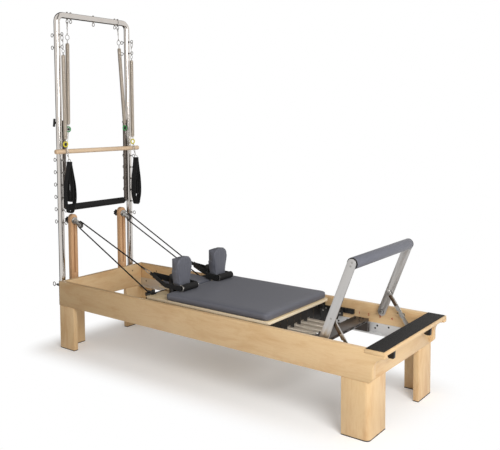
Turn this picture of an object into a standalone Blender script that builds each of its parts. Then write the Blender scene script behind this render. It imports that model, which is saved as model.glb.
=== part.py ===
# Pilates reformer with a tower, built as separate pieces in metres.
# +X runs to the foot end, -Y is the near side and +Z is up. The object
# stands on z = 0 with the middle of its bounding box over the origin.

import math

import bmesh
import bpy
from mathutils import Matrix, Vector

for leftover in list(bpy.data.objects):
    bpy.data.objects.remove(leftover, do_unlink=True)

# Clearances
GAP = 0.0003
RUNNING = 0.0003

# Wooden frame
FRAME_LENGTH = 2.130
WIDTH = 0.700
RAIL_TOP = 0.416
RAIL_DEPTH = 0.149
BOARD = 0.030
HEAD_LEG_SIDE = 0.132
HEAD_LEG_END = 0.170
FOOT_LEG_SIDE = 0.139
FOOT_LEG_END = 0.166
HEAD_LEG_ROUND = 0.004
FOOT_LEG_ROUND = 0.022

# Standing platform at the foot end
DECK_OVERHANG = 0.075
DECK_DEPTH = 0.100
DECK_THICK = 0.018
DECK_LIP = 0.012
COVE_RADIUS = 0.057
COVE_FOOT = 0.018
GRIP_THICK = 0.0025
GRIP_MARGIN = 0.007
WEDGE_SPACING = 0.410
WEDGE_WIDTH = 0.026
WEDGE_REACH = 0.060
WEDGE_DROP = 0.052

# Tracks inside the rails
TRACK_DROP = 0.154
TRACK_HEIGHT = 0.057
TRACK_WALL = 0.004
TRACK_SHELF = 0.026
TRACK_LIP = 0.004

# Carriage
CARRIAGE_REST = 0.580
CARRIAGE_LENGTH = 0.835
CARRIAGE_CLEAR = 0.035
CARRIAGE_BOARD = 0.015
CARRIAGE_RIDE = 0.141
PAD_SETBACK = 0.145
PAD_EDGE = 0.005
PAD_OVERHANG = 0.008
PAD_THICK = 0.036
PAD_CORNER = 0.030
CHANNEL_INSET = 0.077
CHANNEL_WIDTH = 0.037
CHANNEL_DEPTH = 0.038
WHEEL_RADIUS = 0.021
WHEEL_WIDTH = 0.0155
WHEEL_INSET = 0.085
WHEEL_INSET_FOOT = 0.050
AXLE_RADIUS = 0.005
BRACKET_WALL = 0.006

# Headrest
HEADREST_LENGTH = 0.198
HEADREST_CLEAR = 0.0075
HEADREST_BOARD = 0.013
HEADREST_PAD = 0.027
HEADREST_TILT = 3.5
HEADREST_PROP = 0.012
HINGE_BACK = 0.008
HINGE_PIN = 0.003
HINGE_RISE = 0.0075

# Shoulder rests and the loop handles hung on them
SHOULDER_INSET = 0.127
SHOULDER_SETBACK = 0.137
SHOULDER_WIDTH = 0.126
SHOULDER_NECK = 0.096
SHOULDER_THICK = 0.052
SHOULDER_RISE = 0.060
SHOULDER_HEIGHT = 0.170
POST_SETBACK = 0.065
POST_WIDTH = 0.025
POST_DEPTH = 0.030
POST_RISE = 0.116
GRIP_SETBACK = 0.191
GRIP_RADIUS = 0.019
GRIP_LENGTH = 0.122
STRAP_WIDTH = 0.034
STRAP_THICK = 0.0032
STRAP_AHEAD = 0.070
STRAP_START_RISE = 0.094
STRAP_POST_RISE = 0.0155
STRAP_PASS_RISE = 0.0095
STRAP_TURN_RISE = 0.0055
STRAP_LOW_RISE = 0.0020
STRAP_BEHIND = 0.024
STRAP_BESIDE = 0.018
STRAP_POST_GAP = 0.006
STRAP_TURN_OUTER = 0.045
STRAP_TURN_INNER = 0.010
STRAP_LEVEL = 0.030
STRAP_SPLIT = 0.0008
CLIP_AHEAD = 0.163
CLIP_RISE = 0.1285
CLIP_OUT = 0.020

# Springs and spring bar
SPRING_COUNT = 5
SPRING_PITCH_Y = 0.063
SPRING_COIL = 0.0105
SPRING_WIRE = 0.0016
SPRING_TURNS = 6
SPRING_RISE = 0.065
PEG_RADIUS = 0.0035
PEG_INSET = 0.110
SPRING_BAR_INSET = 0.373
SPRING_BAR_WIDTH = 0.085
SPRING_BAR_RISE = 0.083
SPRING_BAR_WALL = 0.004
SPRING_BAR_FLANGE = 0.036

# Footbar and its struts
FOOTBAR_INSET = 0.263
FOOTBAR_DROP = 0.026
FOOTBAR_LEAN = 21.5
FOOTBAR_REACH = 0.411
ARM_WIDTH = 0.045
ARM_THICK = 0.006
ARM_INSET = 0.017
PIVOT_RADIUS = 0.007
PIVOT_HEAD = 0.011
ROLLER_RADIUS = 0.0275
ROLLER_CORE = 0.012
STRUT_ON_ARM = 0.1255
STRUT_LENGTH = 0.198
STRUT_WIDTH = 0.022
STRUT_THICK = 0.004
STRUT_INSET = 0.012
STRUT_ANGLE = -55.7
STRUT_PIN = 0.004
STRUT_FORWARD = 0.0045
SLEEVE_START = 0.022
SLEEVE_LENGTH = 0.062
SLEEVE_THICK = 0.010
NOTCH_RADIUS = 0.0055
NOTCH_PITCH = 0.021
CATCH_DISTANCE = 0.138
CATCH_RADIUS = 0.005
CATCH_PLATE = 0.030
STOP_BEYOND = 0.050
STOP_LENGTH = 0.096
STOP_HEIGHT = 0.026
STOP_PROUD = 0.014
STOP_DROP = 0.045

# Tower
TOWER_STANDOFF = 0.046
TOWER_INSET = 0.0315
TOWER_TOP = 2.060
TUBE_RADIUS = 0.019
TUBE_BEND = 0.042
SOCKET_DROP = 0.016
SOCKET_HEIGHT = 0.150
SOCKET_HALF = 0.0225
SOCKET_FLOOR = 0.010
KNOB_LENGTH = 0.0745
KNOB_RADIUS = 0.008
PULL_RING = 0.012
PULL_WIRE = 0.0025
EYE_RING = 0.0105
EYE_WIRE = 0.0022
EYE_REACH = 0.048
EYE_LOW_FIRST = 0.773
EYE_LOW_PITCH = 0.078
EYE_LOW_COUNT = 6
EYE_HIGH_DROP = 0.200
EYE_HIGH_PITCH = 0.076
EYE_HIGH_COUNT = 2
TOP_EYE_DROP = 0.034
TOP_EYE_INSET = 0.0795
TOP_EYE_APART = 0.027

# Push-through bar
PUSH_PIVOT_DROP = 0.665
PUSH_INSET = 0.0335
PUSH_CLEAR = 0.044
PUSH_TUBE = 0.0120
PUSH_FOAM = 0.0180
PUSH_BEND = 0.014
PUSH_BOLT = 0.005
T_PIN_RADIUS = 0.004
T_PIN_BAR = 0.046
T_PIN_REACH = 0.047

# Risers and pulleys
RISER_INSET = 0.115
RISER_WIDTH = 0.050
RISER_THICK = 0.030
RISER_FACE = 0.024
RISER_TOP = 0.816
RISER_LAP = 0.126
SLOT_WIDTH = 0.010
SLOT_RISE = 0.023
CARRIER_Z = 0.775
CARRIER_DISC = 0.022
CARRIER_DISC_THICK = 0.006
CARRIER_BOLT = 0.004
RISER_KNOB_RADIUS = 0.022
RISER_KNOB_DEPTH = 0.040
SHEAVE_X = 0.036
SHEAVE_Z = 0.753
SHEAVE_RADIUS = 0.0215
SHEAVE_WIDTH = 0.011
SHEAVE_AXLE = 0.0035
CHEEK_THICK = 0.0025
CHEEK_WIDTH = 0.026
ROPE_RADIUS = 0.0032
ROPE_GROOVE = 0.0172

# Springs, bar and loops hung from the tower
TOWER_COIL = 0.0108
TOWER_WIRE = 0.0015
HOOK_SWEEP = 268.0
HOOK_STEPS = 5
TOWER_TURNS = 6
DOWEL_RADIUS = 0.0145
DOWEL_LENGTH = 0.692
DOWEL_HANG = 0.843
DOWEL_EYE_INSET = 0.0265
TAG_RADIUS = 0.0195
TAG_WIRE = 0.0042
TAG_RISE = 0.137
LEG_TAG_HANG = 0.798
LEG_NECK_HANG = 0.920
LEG_TAG_X = 0.005
LEG_TAG_INSET = 0.0075
LEG_NECK_X = 0.0325
LEG_NECK_INSET = 0.0115
LOOP_DROP = 0.302
LOOP_HALF = 0.037
LOOP_INNER_DROP = 0.228
LOOP_INNER_HALF = 0.0145
LOOP_WEB = 0.034
LOOP_THICK = 0.006
FAR_LOOP_TURN = 15.0
FAR_LOOP_FORWARD = 0.005

# Places that follow from the sizes above
RAIL_BOTTOM = RAIL_TOP - RAIL_DEPTH
INNER_FACE = WIDTH / 2 - BOARD
REAR_REACH = TOWER_STANDOFF + SOCKET_HALF + KNOB_LENGTH
DECK_END = FRAME_LENGTH + DECK_OVERHANG
HEAD_X = (REAR_REACH - DECK_END) / 2
TUBE_X = HEAD_X - TOWER_STANDOFF
TRACK_BOTTOM = RAIL_TOP - TRACK_DROP
SHELF_TOP = TRACK_BOTTOM + TRACK_WALL
WHEEL_Z = SHELF_TOP + WHEEL_RADIUS + GAP
CARRIAGE_BOARD_Z = TRACK_BOTTOM + CARRIAGE_RIDE
CARRIAGE_TOP = CARRIAGE_BOARD_Z + CARRIAGE_BOARD
CARRIAGE_HEAD = FRAME_LENGTH - CARRIAGE_REST - CARRIAGE_LENGTH
CARRIAGE_WIDTH = 2 * (INNER_FACE - CARRIAGE_CLEAR)
PAD_HEAD = CARRIAGE_HEAD + PAD_SETBACK
PAD_LENGTH = CARRIAGE_LENGTH - PAD_SETBACK - PAD_EDGE
PAD_WIDTH = CARRIAGE_WIDTH + 2 * PAD_OVERHANG
CHANNEL_Y = INNER_FACE - CHANNEL_INSET
SHOULDER_X = CARRIAGE_HEAD + SHOULDER_SETBACK
SHOULDER_Y = CARRIAGE_WIDTH / 2 - SHOULDER_INSET
SHOULDER_BOTTOM = CARRIAGE_TOP + SHOULDER_RISE
POST_X = CARRIAGE_HEAD + POST_SETBACK
POST_TOP = CARRIAGE_TOP + POST_RISE
GRIP_X = CARRIAGE_HEAD + GRIP_SETBACK
STRAP_START_X = CARRIAGE_HEAD - STRAP_AHEAD
STRAP_START_Z = CARRIAGE_TOP + STRAP_START_RISE
CLIP_X = CARRIAGE_HEAD - CLIP_AHEAD
CLIP_Y = SHOULDER_Y + CLIP_OUT
CLIP_Z = CARRIAGE_TOP + CLIP_RISE
PEG_X = CARRIAGE_HEAD + CARRIAGE_LENGTH - PEG_INSET
SPRING_BAR_X = FRAME_LENGTH - SPRING_BAR_INSET
SPRING_BAR_Z = TRACK_BOTTOM + SPRING_BAR_RISE
SPRING_Z = TRACK_BOTTOM + SPRING_RISE
FOOTBAR_X = FRAME_LENGTH - FOOTBAR_INSET
FOOTBAR_Z = RAIL_TOP - FOOTBAR_DROP
ARM_Y = INNER_FACE - ARM_INSET
STRUT_Y = ARM_Y - STRUT_INSET
TOWER_HALF = INNER_FACE - TOWER_INSET
SOCKET_TOP = RAIL_TOP - SOCKET_DROP
PUSH_ARM_Y = TOWER_HALF - PUSH_INSET
TOP_EYE_OUTER = TOWER_HALF - TOP_EYE_INSET
TOP_EYE_INNER = TOP_EYE_OUTER - TOP_EYE_APART
RISER_Y = INNER_FACE - RISER_INSET
RISER_BOTTOM = RAIL_TOP - RISER_LAP
SLOT_LOW = RAIL_TOP + SLOT_RISE
DOWEL_EYE_Y = TOWER_HALF - DOWEL_EYE_INSET
HEADREST_WIDTH = 2 * (SHOULDER_Y - POST_WIDTH / 2 - HEADREST_CLEAR)
EYE_HIGH_FIRST = TOWER_TOP - EYE_HIGH_DROP
PUSH_PIVOT_Z = TOWER_TOP - PUSH_PIVOT_DROP
PUSH_DROP = PUSH_PIVOT_Z - RISER_TOP - PUSH_CLEAR
DOWEL_Z = TOWER_TOP - DOWEL_HANG
LEG_TAG_Z = TOWER_TOP - LEG_TAG_HANG
LEG_NECK_Z = TOWER_TOP - LEG_NECK_HANG
LEG_TAG_Y = TOWER_HALF - LEG_TAG_INSET
LEG_NECK_Y = TOWER_HALF - LEG_NECK_INSET
SIDES = ((-1, "near"), (1, "far"))


# Materials, one for each kind of surface

def material(name, colour, roughness, metallic=0.0):
    made = bpy.data.materials.new(name)
    made.use_nodes = True
    shader = made.node_tree.nodes["Principled BSDF"]
    shader.inputs["Base Color"].default_value = (*colour, 1.0)
    shader.inputs["Roughness"].default_value = roughness
    shader.inputs["Metallic"].default_value = metallic
    made.diffuse_color = (*colour, 1.0)
    return made


PALETTE = {
    "maple": ((0.61, 0.40, 0.20), 0.45, 0.0),
    "plywood": ((0.78, 0.66, 0.45), 0.5, 0.0),
    "dowel_wood": ((0.72, 0.52, 0.34), 0.45, 0.0),
    "grip_rubber": ((0.025, 0.025, 0.026), 0.85, 0.0),
    "track_aluminium": ((0.60, 0.61, 0.63), 0.35, 1.0),
    "arm_aluminium": ((0.66, 0.66, 0.66), 0.4, 1.0),
    "chrome": ((0.72, 0.71, 0.70), 0.12, 1.0),
    "spring_steel": ((0.55, 0.50, 0.44), 0.3, 1.0),
    "black_steel": ((0.02, 0.02, 0.021), 0.5, 0.2),
    "vinyl": ((0.145, 0.150, 0.170), 0.55, 0.0),
    "foam": ((0.022, 0.022, 0.024), 0.8, 0.0),
    "rope": ((0.018, 0.018, 0.018), 0.8, 0.0),
    "webbing": ((0.016, 0.016, 0.017), 0.75, 0.0),
    "wheel_urethane": ((0.05, 0.05, 0.05), 0.6, 0.0),
    "spring_bar_brown": ((0.09, 0.075, 0.068), 0.45, 0.3),
}


# Building blocks

def to_object(name, bm, finish, origin=(0.0, 0.0, 0.0), parent=None):
    """Turn a bmesh in world coordinates into one named object with its own material."""
    origin = Vector(origin)
    bmesh.ops.translate(bm, verts=bm.verts, vec=-origin)
    bmesh.ops.recalc_face_normals(bm, faces=bm.faces)
    mesh = bpy.data.meshes.new(name)
    bm.to_mesh(mesh)
    bm.free()
    made = bpy.data.objects.new(name, mesh)
    bpy.context.scene.collection.objects.link(made)
    made.location = origin
    if parent is not None:
        made.parent = parent
        made.location = origin - parent.location
    if finish is not None:
        colour, roughness, metallic = PALETTE[finish]
        mesh.materials.append(material(name + "_" + finish, colour, roughness, metallic))
    return made


def pivot(name, place):
    """An empty on a joint's axis that carries the pieces of one moving body."""
    made = bpy.data.objects.new(name, None)
    bpy.context.scene.collection.objects.link(made)
    made.location = place
    made.empty_display_size = 0.05
    return made


def operand(name, bm):
    """A hidden solid for a Boolean modifier."""
    made = to_object(name, bm, None)
    made.hide_render = True
    made.display_type = "WIRE"
    made.hide_set(True)
    made.hide_viewport = True
    return made


def boolean(target, operation, bm):
    tool = operand(target.name + "_" + operation.lower() + str(len(target.modifiers)), bm)
    step = target.modifiers.new(operation.title(), "BOOLEAN")
    step.operation = operation
    step.solver = "EXACT"
    step.object = tool


def block(bm, x, y, z):
    """A box between the given low and high pairs."""
    low = Vector((min(x), min(y), min(z)))
    high = Vector((max(x), max(y), max(z)))
    place = Matrix.Translation((low + high) / 2) @ Matrix.Diagonal((*(high - low), 1.0))
    bmesh.ops.create_cube(bm, size=1.0, matrix=place)


def rod(bm, start, end, radius, sides=16, end_radius=None):
    """A closed cylinder, or a cone when the end radius is given."""
    start = Vector(start)
    end = Vector(end)
    along = end - start
    place = Matrix.Translation((start + end) / 2) @ along.to_track_quat("Z", "Y").to_matrix().to_4x4()
    last = radius if end_radius is None else end_radius
    bmesh.ops.create_cone(bm, cap_ends=True, segments=sides, radius1=radius, radius2=last,
                          depth=along.length, matrix=place)


def bore_radius(radius, sides):
    """The radius of a many-sided bore whose flats clear a round piece by the gap."""
    return (radius + GAP) / math.cos(math.pi / sides)


def extrude_outline(bm, outline, axis, low, high):
    """A prism: the outline lies across the axis and is extruded along it."""
    def corner(pair, level):
        if axis == "X":
            return Vector((level, pair[0], pair[1]))
        if axis == "Y":
            return Vector((pair[0], level, pair[1]))
        return Vector((pair[0], pair[1], level))

    base = [bm.verts.new(corner(pair, low)) for pair in outline]
    face = bm.faces.new(base)
    grown = bmesh.ops.extrude_face_region(bm, geom=[face])
    moved = [item for item in grown["geom"] if isinstance(item, bmesh.types.BMVert)]
    step = corner((0.0, 0.0), high) - corner((0.0, 0.0), low)
    bmesh.ops.translate(bm, verts=moved, vec=step)


def arc(centre, radius, first, last, steps):
    """Points along an arc, angles in degrees."""
    points = []
    for index in range(steps + 1):
        angle = math.radians(first + (last - first) * index / steps)
        points.append((centre[0] + radius * math.cos(angle), centre[1] + radius * math.sin(angle)))
    return points


def ring(bm, centre, normal, radius, wire, around=8, across=4):
    """A torus, spun from a small circle."""
    turn = Vector(normal).to_track_quat("Z", "Y").to_matrix().to_4x4()
    place = Matrix.Translation(centre) @ turn
    loops = []
    for step in range(around):
        angle = math.tau * step / around
        out = Vector((math.cos(angle), math.sin(angle), 0.0))
        loop = []
        for side in range(across):
            tilt = math.tau * (side + 0.5) / across
            spot = out * (radius + wire * math.cos(tilt)) + Vector((0.0, 0.0, wire * math.sin(tilt)))
            loop.append(bm.verts.new(place @ spot))
        loops.append(loop)
    for step in range(around):
        here = loops[step]
        after = loops[(step + 1) % around]
        for side in range(across):
            other = (side + 1) % across
            bm.faces.new((here[side], here[other], after[other], after[side]))


def tube(bm, points, radius, sides=12):
    """A solid round tube swept along a path, with flat ends."""
    path = [Vector(point) for point in points]
    across = None
    loops = []
    for index, spot in enumerate(path):
        before = path[max(index - 1, 0)]
        after = path[min(index + 1, len(path) - 1)]
        along = (after - before).normalized()
        if across is None:
            across = along.orthogonal().normalized()
        across = (across - along * across.dot(along)).normalized()
        side_way = along.cross(across)
        loop = []
        for side in range(sides):
            angle = math.tau * side / sides
            out = across * math.cos(angle) + side_way * math.sin(angle)
            loop.append(bm.verts.new(spot + out * radius))
        loops.append(loop)
    for here, after in zip(loops, loops[1:]):
        for side in range(sides):
            other = (side + 1) % sides
            bm.faces.new((here[side], here[other], after[other], after[side]))
    bm.faces.new(list(reversed(loops[0])))
    bm.faces.new(loops[-1])


def rounded_path(corners, bend, steps=5):
    """A path through the corners with an arc of the given radius at each inner one."""
    path = [Vector(corners[0])]
    for before, spot, after in zip(corners, corners[1:], corners[2:]):
        spot = Vector(spot)
        way_in = (Vector(before) - spot).normalized()
        way_out = (Vector(after) - spot).normalized()
        half = way_in.angle(way_out) / 2
        back = bend / math.tan(half)
        centre = spot + (way_in + way_out).normalized() * (bend / math.sin(half))
        first = spot + way_in * back - centre
        last = spot + way_out * back - centre
        for index in range(steps + 1):
            path.append(centre + first.slerp(last, index / steps).normalized() * bend)
    path.append(Vector(corners[-1]))
    return path


def wire_object(name, points, radius, finish, parent=None, resolution=1):
    """A wire or rope as a curve with a bevel and filled ends."""
    origin = parent.location if parent is not None else Vector((0.0, 0.0, 0.0))
    curve = bpy.data.curves.new(name, "CURVE")
    curve.dimensions = "3D"
    curve.bevel_depth = radius
    curve.bevel_resolution = resolution
    curve.use_fill_caps = True
    curve.render_resolution_u = 0
    spline = curve.splines.new("POLY")
    spline.points.add(len(points) - 1)
    for spot, target in zip(points, spline.points):
        target.co = (*(Vector(spot) - origin), 1.0)
    made = bpy.data.objects.new(name, curve)
    bpy.context.scene.collection.objects.link(made)
    if parent is not None:
        made.parent = parent
    colour, roughness, metallic = PALETTE[finish]
    curve.materials.append(material(name + "_" + finish, colour, roughness, metallic))
    return made


def hook_reach(pin, wire):
    """From the middle of a pin to the wire of the hook that rests on it; the hook is bent in straight steps."""
    return (pin + wire + GAP) / math.cos(math.radians(HOOK_SWEEP / HOOK_STEPS / 2))


def hook_points(centre, along, across, radius):
    """An open eye round a pin, ending on the side that faces the spring."""
    points = []
    for index in range(HOOK_STEPS + 1):
        angle = math.radians(62.0 + HOOK_SWEEP * index / HOOK_STEPS)
        points.append(centre + (along * math.cos(angle) + across * math.sin(angle)) * radius)
    return points


def spring_points(start, end, start_way, end_way, coil, turns, hooks, lead_start, lead_end, aside=None):
    """A hooked extension spring between two pins, as one wire path; aside is where its lead passes."""
    start = Vector(start)
    end = Vector(end)
    top = start if aside is None else Vector(aside)
    along = (end - top).normalized()
    across = square_to(start_way, along)
    other = along.cross(across)
    points = hook_points(start, along, across, hooks[0])
    if aside is not None:
        points.append(top)
    coil_start = top + along * lead_start
    coil_end = end - along * lead_end
    points.append(coil_start - along * coil * 0.8)
    for index in range(turns * 8 + 1):
        angle = math.tau * index / 8
        spot = coil_start.lerp(coil_end, index / (turns * 8))
        points.append(spot + (across * math.cos(angle) + other * math.sin(angle)) * coil)
    points.append(coil_end + along * coil * 0.8)
    points.extend(reversed(hook_points(end, -along, square_to(end_way, along), hooks[1])))
    return points


def square_to(way, along):
    """The part of a direction that is square to another one."""
    way = Vector(way)
    return (way - along * way.dot(along)).normalized()


def least_gap(points, radius, apart=6):
    """The smallest space between stretches of one wire that aren't neighbours."""
    least = 1.0
    for index in range(len(points) - 1):
        first = (points[index] + points[index + 1]) / 2
        for later in range(index + apart, len(points)):
            least = min(least, (first - points[later]).length - 2 * radius)
    return least


def cushion(bm, outline, depth, edge, crown, place):
    """A pad with drawn-in sides and a crown: the outline is scaled about its middle, ring by ring."""
    span = max(math.hypot(*pair) for pair in outline)
    levels = ((0.0, edge * 0.7), (depth * 0.18, edge * 0.15), (depth * 0.5, 0.0), (depth * 0.8, edge * 0.25),
              (depth * 0.95, edge * 0.8), (depth, edge * 1.6), (depth + crown * 0.6, span * 0.35),
              (depth + crown * 0.9, span * 0.65))
    loops = []
    for height, inset in levels:
        loop = []
        for across, up in outline:
            reach = math.hypot(across, up)
            scale = max(reach - inset, reach * 0.2) / reach
            if inset > edge * 2:
                scale = 1.0 - inset / span
            loop.append(bm.verts.new(place @ Vector((across * scale, up * scale, height))))
        loops.append(loop)
    count = len(outline)
    for here, after in zip(loops, loops[1:]):
        for index in range(count):
            other = (index + 1) % count
            bm.faces.new((here[index], here[other], after[other], after[index]))
    bm.faces.new(list(reversed(loops[0])))
    tip = bm.verts.new(place @ Vector((0.0, 0.0, depth + crown)))
    for index in range(count):
        bm.faces.new((loops[-1][index], loops[-1][(index + 1) % count], tip))


def rounded_rectangle(length, width, radius, steps=4):
    points = []
    for corner, (way_x, way_y) in enumerate(((1, 1), (-1, 1), (-1, -1), (1, -1))):
        centre = (way_x * (length / 2 - radius), way_y * (width / 2 - radius))
        points.extend(arc(centre, radius, corner * 90, corner * 90 + 90, steps))
    return points


# Wooden frame

def make_rail(side, label):
    """A side board whose foot end flares up to the platform, with the fixed pins on its inner face."""
    deck_start = DECK_END - DECK_DEPTH
    shoulder = RAIL_TOP - DECK_THICK
    cove_top = shoulder - DECK_LIP
    cove_x = DECK_END - COVE_RADIUS
    outline = [(0.0, RAIL_BOTTOM), (0.0, RAIL_TOP), (deck_start, RAIL_TOP), (deck_start, shoulder),
               (DECK_END, shoulder)]
    outline.extend(arc((DECK_END, cove_top - COVE_RADIUS), COVE_RADIUS, 90, 180, 8))
    outline.append((cove_x, RAIL_BOTTOM + COVE_FOOT))
    outline.append((FRAME_LENGTH, RAIL_BOTTOM))
    outline = [(HEAD_X + x, z) for x, z in outline]
    bm = bmesh.new()
    extrude_outline(bm, outline, "Y", side * INNER_FACE, side * WIDTH / 2)
    rail = to_object("rail_" + label, bm, "maple")

    fixed = bmesh.new()
    root = side * (INNER_FACE + 0.004)
    x = HEAD_X + FOOTBAR_X
    arm_outer = ARM_Y + ARM_THICK / 2
    arm_inner = ARM_Y - ARM_THICK / 2
    rod(fixed, (x, root, FOOTBAR_Z), (x, side * (arm_outer + GAP), FOOTBAR_Z), PIVOT_HEAD)
    catch = strut_point(CATCH_DISTANCE, -STRUT_WIDTH / 2)
    block(fixed, (catch.x - CATCH_PLATE / 2, catch.x + CATCH_PLATE / 2), (root, side * (INNER_FACE - 0.003)),
          (catch.y - CATCH_PLATE / 3, catch.y + CATCH_PLATE / 3))
    stop_x = HEAD_X + CARRIAGE_HEAD + CARRIAGE_LENGTH + STOP_BEYOND
    stop_top = RAIL_TOP - STOP_DROP
    block(fixed, (stop_x, stop_x + STOP_LENGTH), (root, side * (INNER_FACE - STOP_PROUD)),
          (stop_top - STOP_HEIGHT, stop_top))
    boolean(rail, "UNION", fixed)

    pins = bmesh.new()
    rod(pins, (x, root, FOOTBAR_Z), (x, side * (arm_inner - 0.004), FOOTBAR_Z), PIVOT_RADIUS - RUNNING)
    rod(pins, (catch.x, root, catch.y), (catch.x, side * (STRUT_Y + STRUT_THICK / 2 + 0.0006), catch.y),
        CATCH_RADIUS)
    boolean(rail, "UNION", pins)

    head = bmesh.new()
    rod(head, (x, side * (arm_inner - GAP), FOOTBAR_Z), (x, side * (arm_inner - 0.0045), FOOTBAR_Z), PIVOT_HEAD)
    boolean(rail, "UNION", head)


def strut_point(distance, offset=0.0):
    """A point on the near strut's centre line, as (x, z), with an offset across it."""
    lean = math.radians(90.0 - FOOTBAR_LEAN)
    start = Vector((HEAD_X + FOOTBAR_X, FOOTBAR_Z))
    start += Vector((math.cos(lean), math.sin(lean))) * STRUT_ON_ARM
    start += Vector((math.sin(lean), -math.cos(lean))) * STRUT_FORWARD * -1.0
    angle = math.radians(STRUT_ANGLE)
    along = Vector((math.cos(angle), math.sin(angle)))
    across = Vector((-along.y, along.x))
    return start + along * distance + across * offset


def make_boards():
    inside = INNER_FACE - GAP
    bm = bmesh.new()
    block(bm, (HEAD_X, HEAD_X + BOARD), (-inside, inside), (RAIL_BOTTOM, RAIL_TOP))
    to_object("head_board", bm, "maple")

    bm = bmesh.new()
    outer = HEAD_X + FRAME_LENGTH
    top = RAIL_TOP - DECK_THICK - GAP
    block(bm, (outer - BOARD, outer), (-inside, inside), (RAIL_BOTTOM, top))
    board = to_object("end_board", bm, "maple")
    wedges = bmesh.new()
    outline = [(outer - 0.004, top), (outer + WEDGE_REACH, top), (outer + WEDGE_REACH, top - 0.006),
               (outer, top - WEDGE_DROP), (outer - 0.004, top - WEDGE_DROP)]
    for side, _ in SIDES:
        y = side * WEDGE_SPACING / 2
        extrude_outline(wedges, outline, "Y", y - WEDGE_WIDTH / 2, y + WEDGE_WIDTH / 2)
    boolean(board, "UNION", wedges)


def make_leg(name, corner_x, way, side, length, end_length, radius):
    """An L of two boards under a corner; way points from the corner along the rail."""
    out_y = side * WIDTH / 2
    bend = arc((radius, radius), radius, 180, 270, 5)
    flat = [*bend, (length, 0.0), (length, BOARD), (BOARD, BOARD), (BOARD, end_length), (0.0, end_length)]
    outline = [(corner_x + way * along, out_y - side * across) for along, across in flat]
    bm = bmesh.new()
    extrude_outline(bm, outline, "Z", 0.0, RAIL_BOTTOM - GAP)
    to_object(name, bm, "maple")


def make_deck():
    low = HEAD_X + DECK_END - DECK_DEPTH + GAP
    high = HEAD_X + DECK_END
    bm = bmesh.new()
    block(bm, (low, high), (-WIDTH / 2, WIDTH / 2), (RAIL_TOP - DECK_THICK + GAP, RAIL_TOP))
    to_object("platform", bm, "maple")
    bm = bmesh.new()
    reach = WIDTH / 2 - GRIP_MARGIN
    block(bm, (low + GRIP_MARGIN * 0.6, high - GRIP_MARGIN), (-reach, reach),
          (RAIL_TOP + GAP, RAIL_TOP + GAP + GRIP_THICK))
    to_object("platform_grip", bm, "grip_rubber")


def make_track(side, label):
    """An aluminium angle on the rail's inner face: a flange, a shelf and a small lip."""
    back = INNER_FACE - GAP
    lip_y = back - TRACK_SHELF - TRACK_WALL
    outline = [(back, TRACK_BOTTOM), (back, TRACK_BOTTOM + TRACK_HEIGHT),
               (back - TRACK_WALL, TRACK_BOTTOM + TRACK_HEIGHT), (back - TRACK_WALL, SHELF_TOP),
               (lip_y + TRACK_WALL * 0.6, SHELF_TOP), (lip_y + TRACK_WALL * 0.6, SHELF_TOP + TRACK_LIP),
               (lip_y, SHELF_TOP + TRACK_LIP), (lip_y, TRACK_BOTTOM)]
    outline = [(side * y, z) for y, z in outline]
    bm = bmesh.new()
    extrude_outline(bm, outline, "X", HEAD_X + BOARD + GAP, HEAD_X + FRAME_LENGTH - BOARD - GAP)
    to_object("track_" + label, bm, "track_aluminium")


# Carriage

def make_carriage():
    body = pivot("carriage_slide", (HEAD_X + CARRIAGE_HEAD, 0.0, WHEEL_Z))
    foot = CARRIAGE_HEAD + CARRIAGE_LENGTH
    bm = bmesh.new()
    outline = rounded_rectangle(CARRIAGE_LENGTH, CARRIAGE_WIDTH, 0.012, 2)
    outline = [(HEAD_X + CARRIAGE_HEAD + CARRIAGE_LENGTH / 2 + x, y) for x, y in outline]
    extrude_outline(bm, outline, "Z", CARRIAGE_BOARD_Z, CARRIAGE_TOP)
    board = to_object("carriage_board", bm, "plywood", parent=body)
    lugs = bmesh.new()
    hinge = hinge_place()
    for side, _ in SIDES:
        inner = HEADREST_WIDTH / 2 + 0.006
        block(lugs, (hinge.x - 0.008, hinge.x + 0.006), (side * inner, side * (inner + 0.010)),
              (CARRIAGE_TOP - 0.004, hinge.z + 0.008))
    boolean(board, "UNION", lugs)
    holes = bmesh.new()
    for side, _ in SIDES:
        inner = HEADREST_WIDTH / 2 + 0.004
        rod(holes, (hinge.x, side * inner, hinge.z), (hinge.x, side * (inner + 0.014), hinge.z),
            HINGE_PIN + RUNNING, 12)
    boolean(board, "DIFFERENCE", holes)

    bm = bmesh.new()
    outline = rounded_rectangle(PAD_LENGTH, PAD_WIDTH, PAD_CORNER)
    place = Matrix.Translation((HEAD_X + PAD_HEAD + PAD_LENGTH / 2, 0.0, CARRIAGE_TOP + GAP))
    cushion(bm, outline, PAD_THICK, 0.010, 0.003, place)
    to_object("carriage_pad", bm, "vinyl", parent=body)

    make_underframe(body, foot)
    make_wheels(body, foot)
    make_headrest(body)
    for side, label in SIDES:
        make_shoulder_rest(body, side, label)
        make_handle(body, side, label)
    return body


def wheel_places(foot):
    return (HEAD_X + CARRIAGE_HEAD + WHEEL_INSET, HEAD_X + foot - WHEEL_INSET_FOOT)


def wheel_span():
    """The inner and outer y of a wheel on the far side."""
    outer = INNER_FACE - GAP - TRACK_WALL - 0.0045
    return outer - WHEEL_WIDTH, outer


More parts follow.
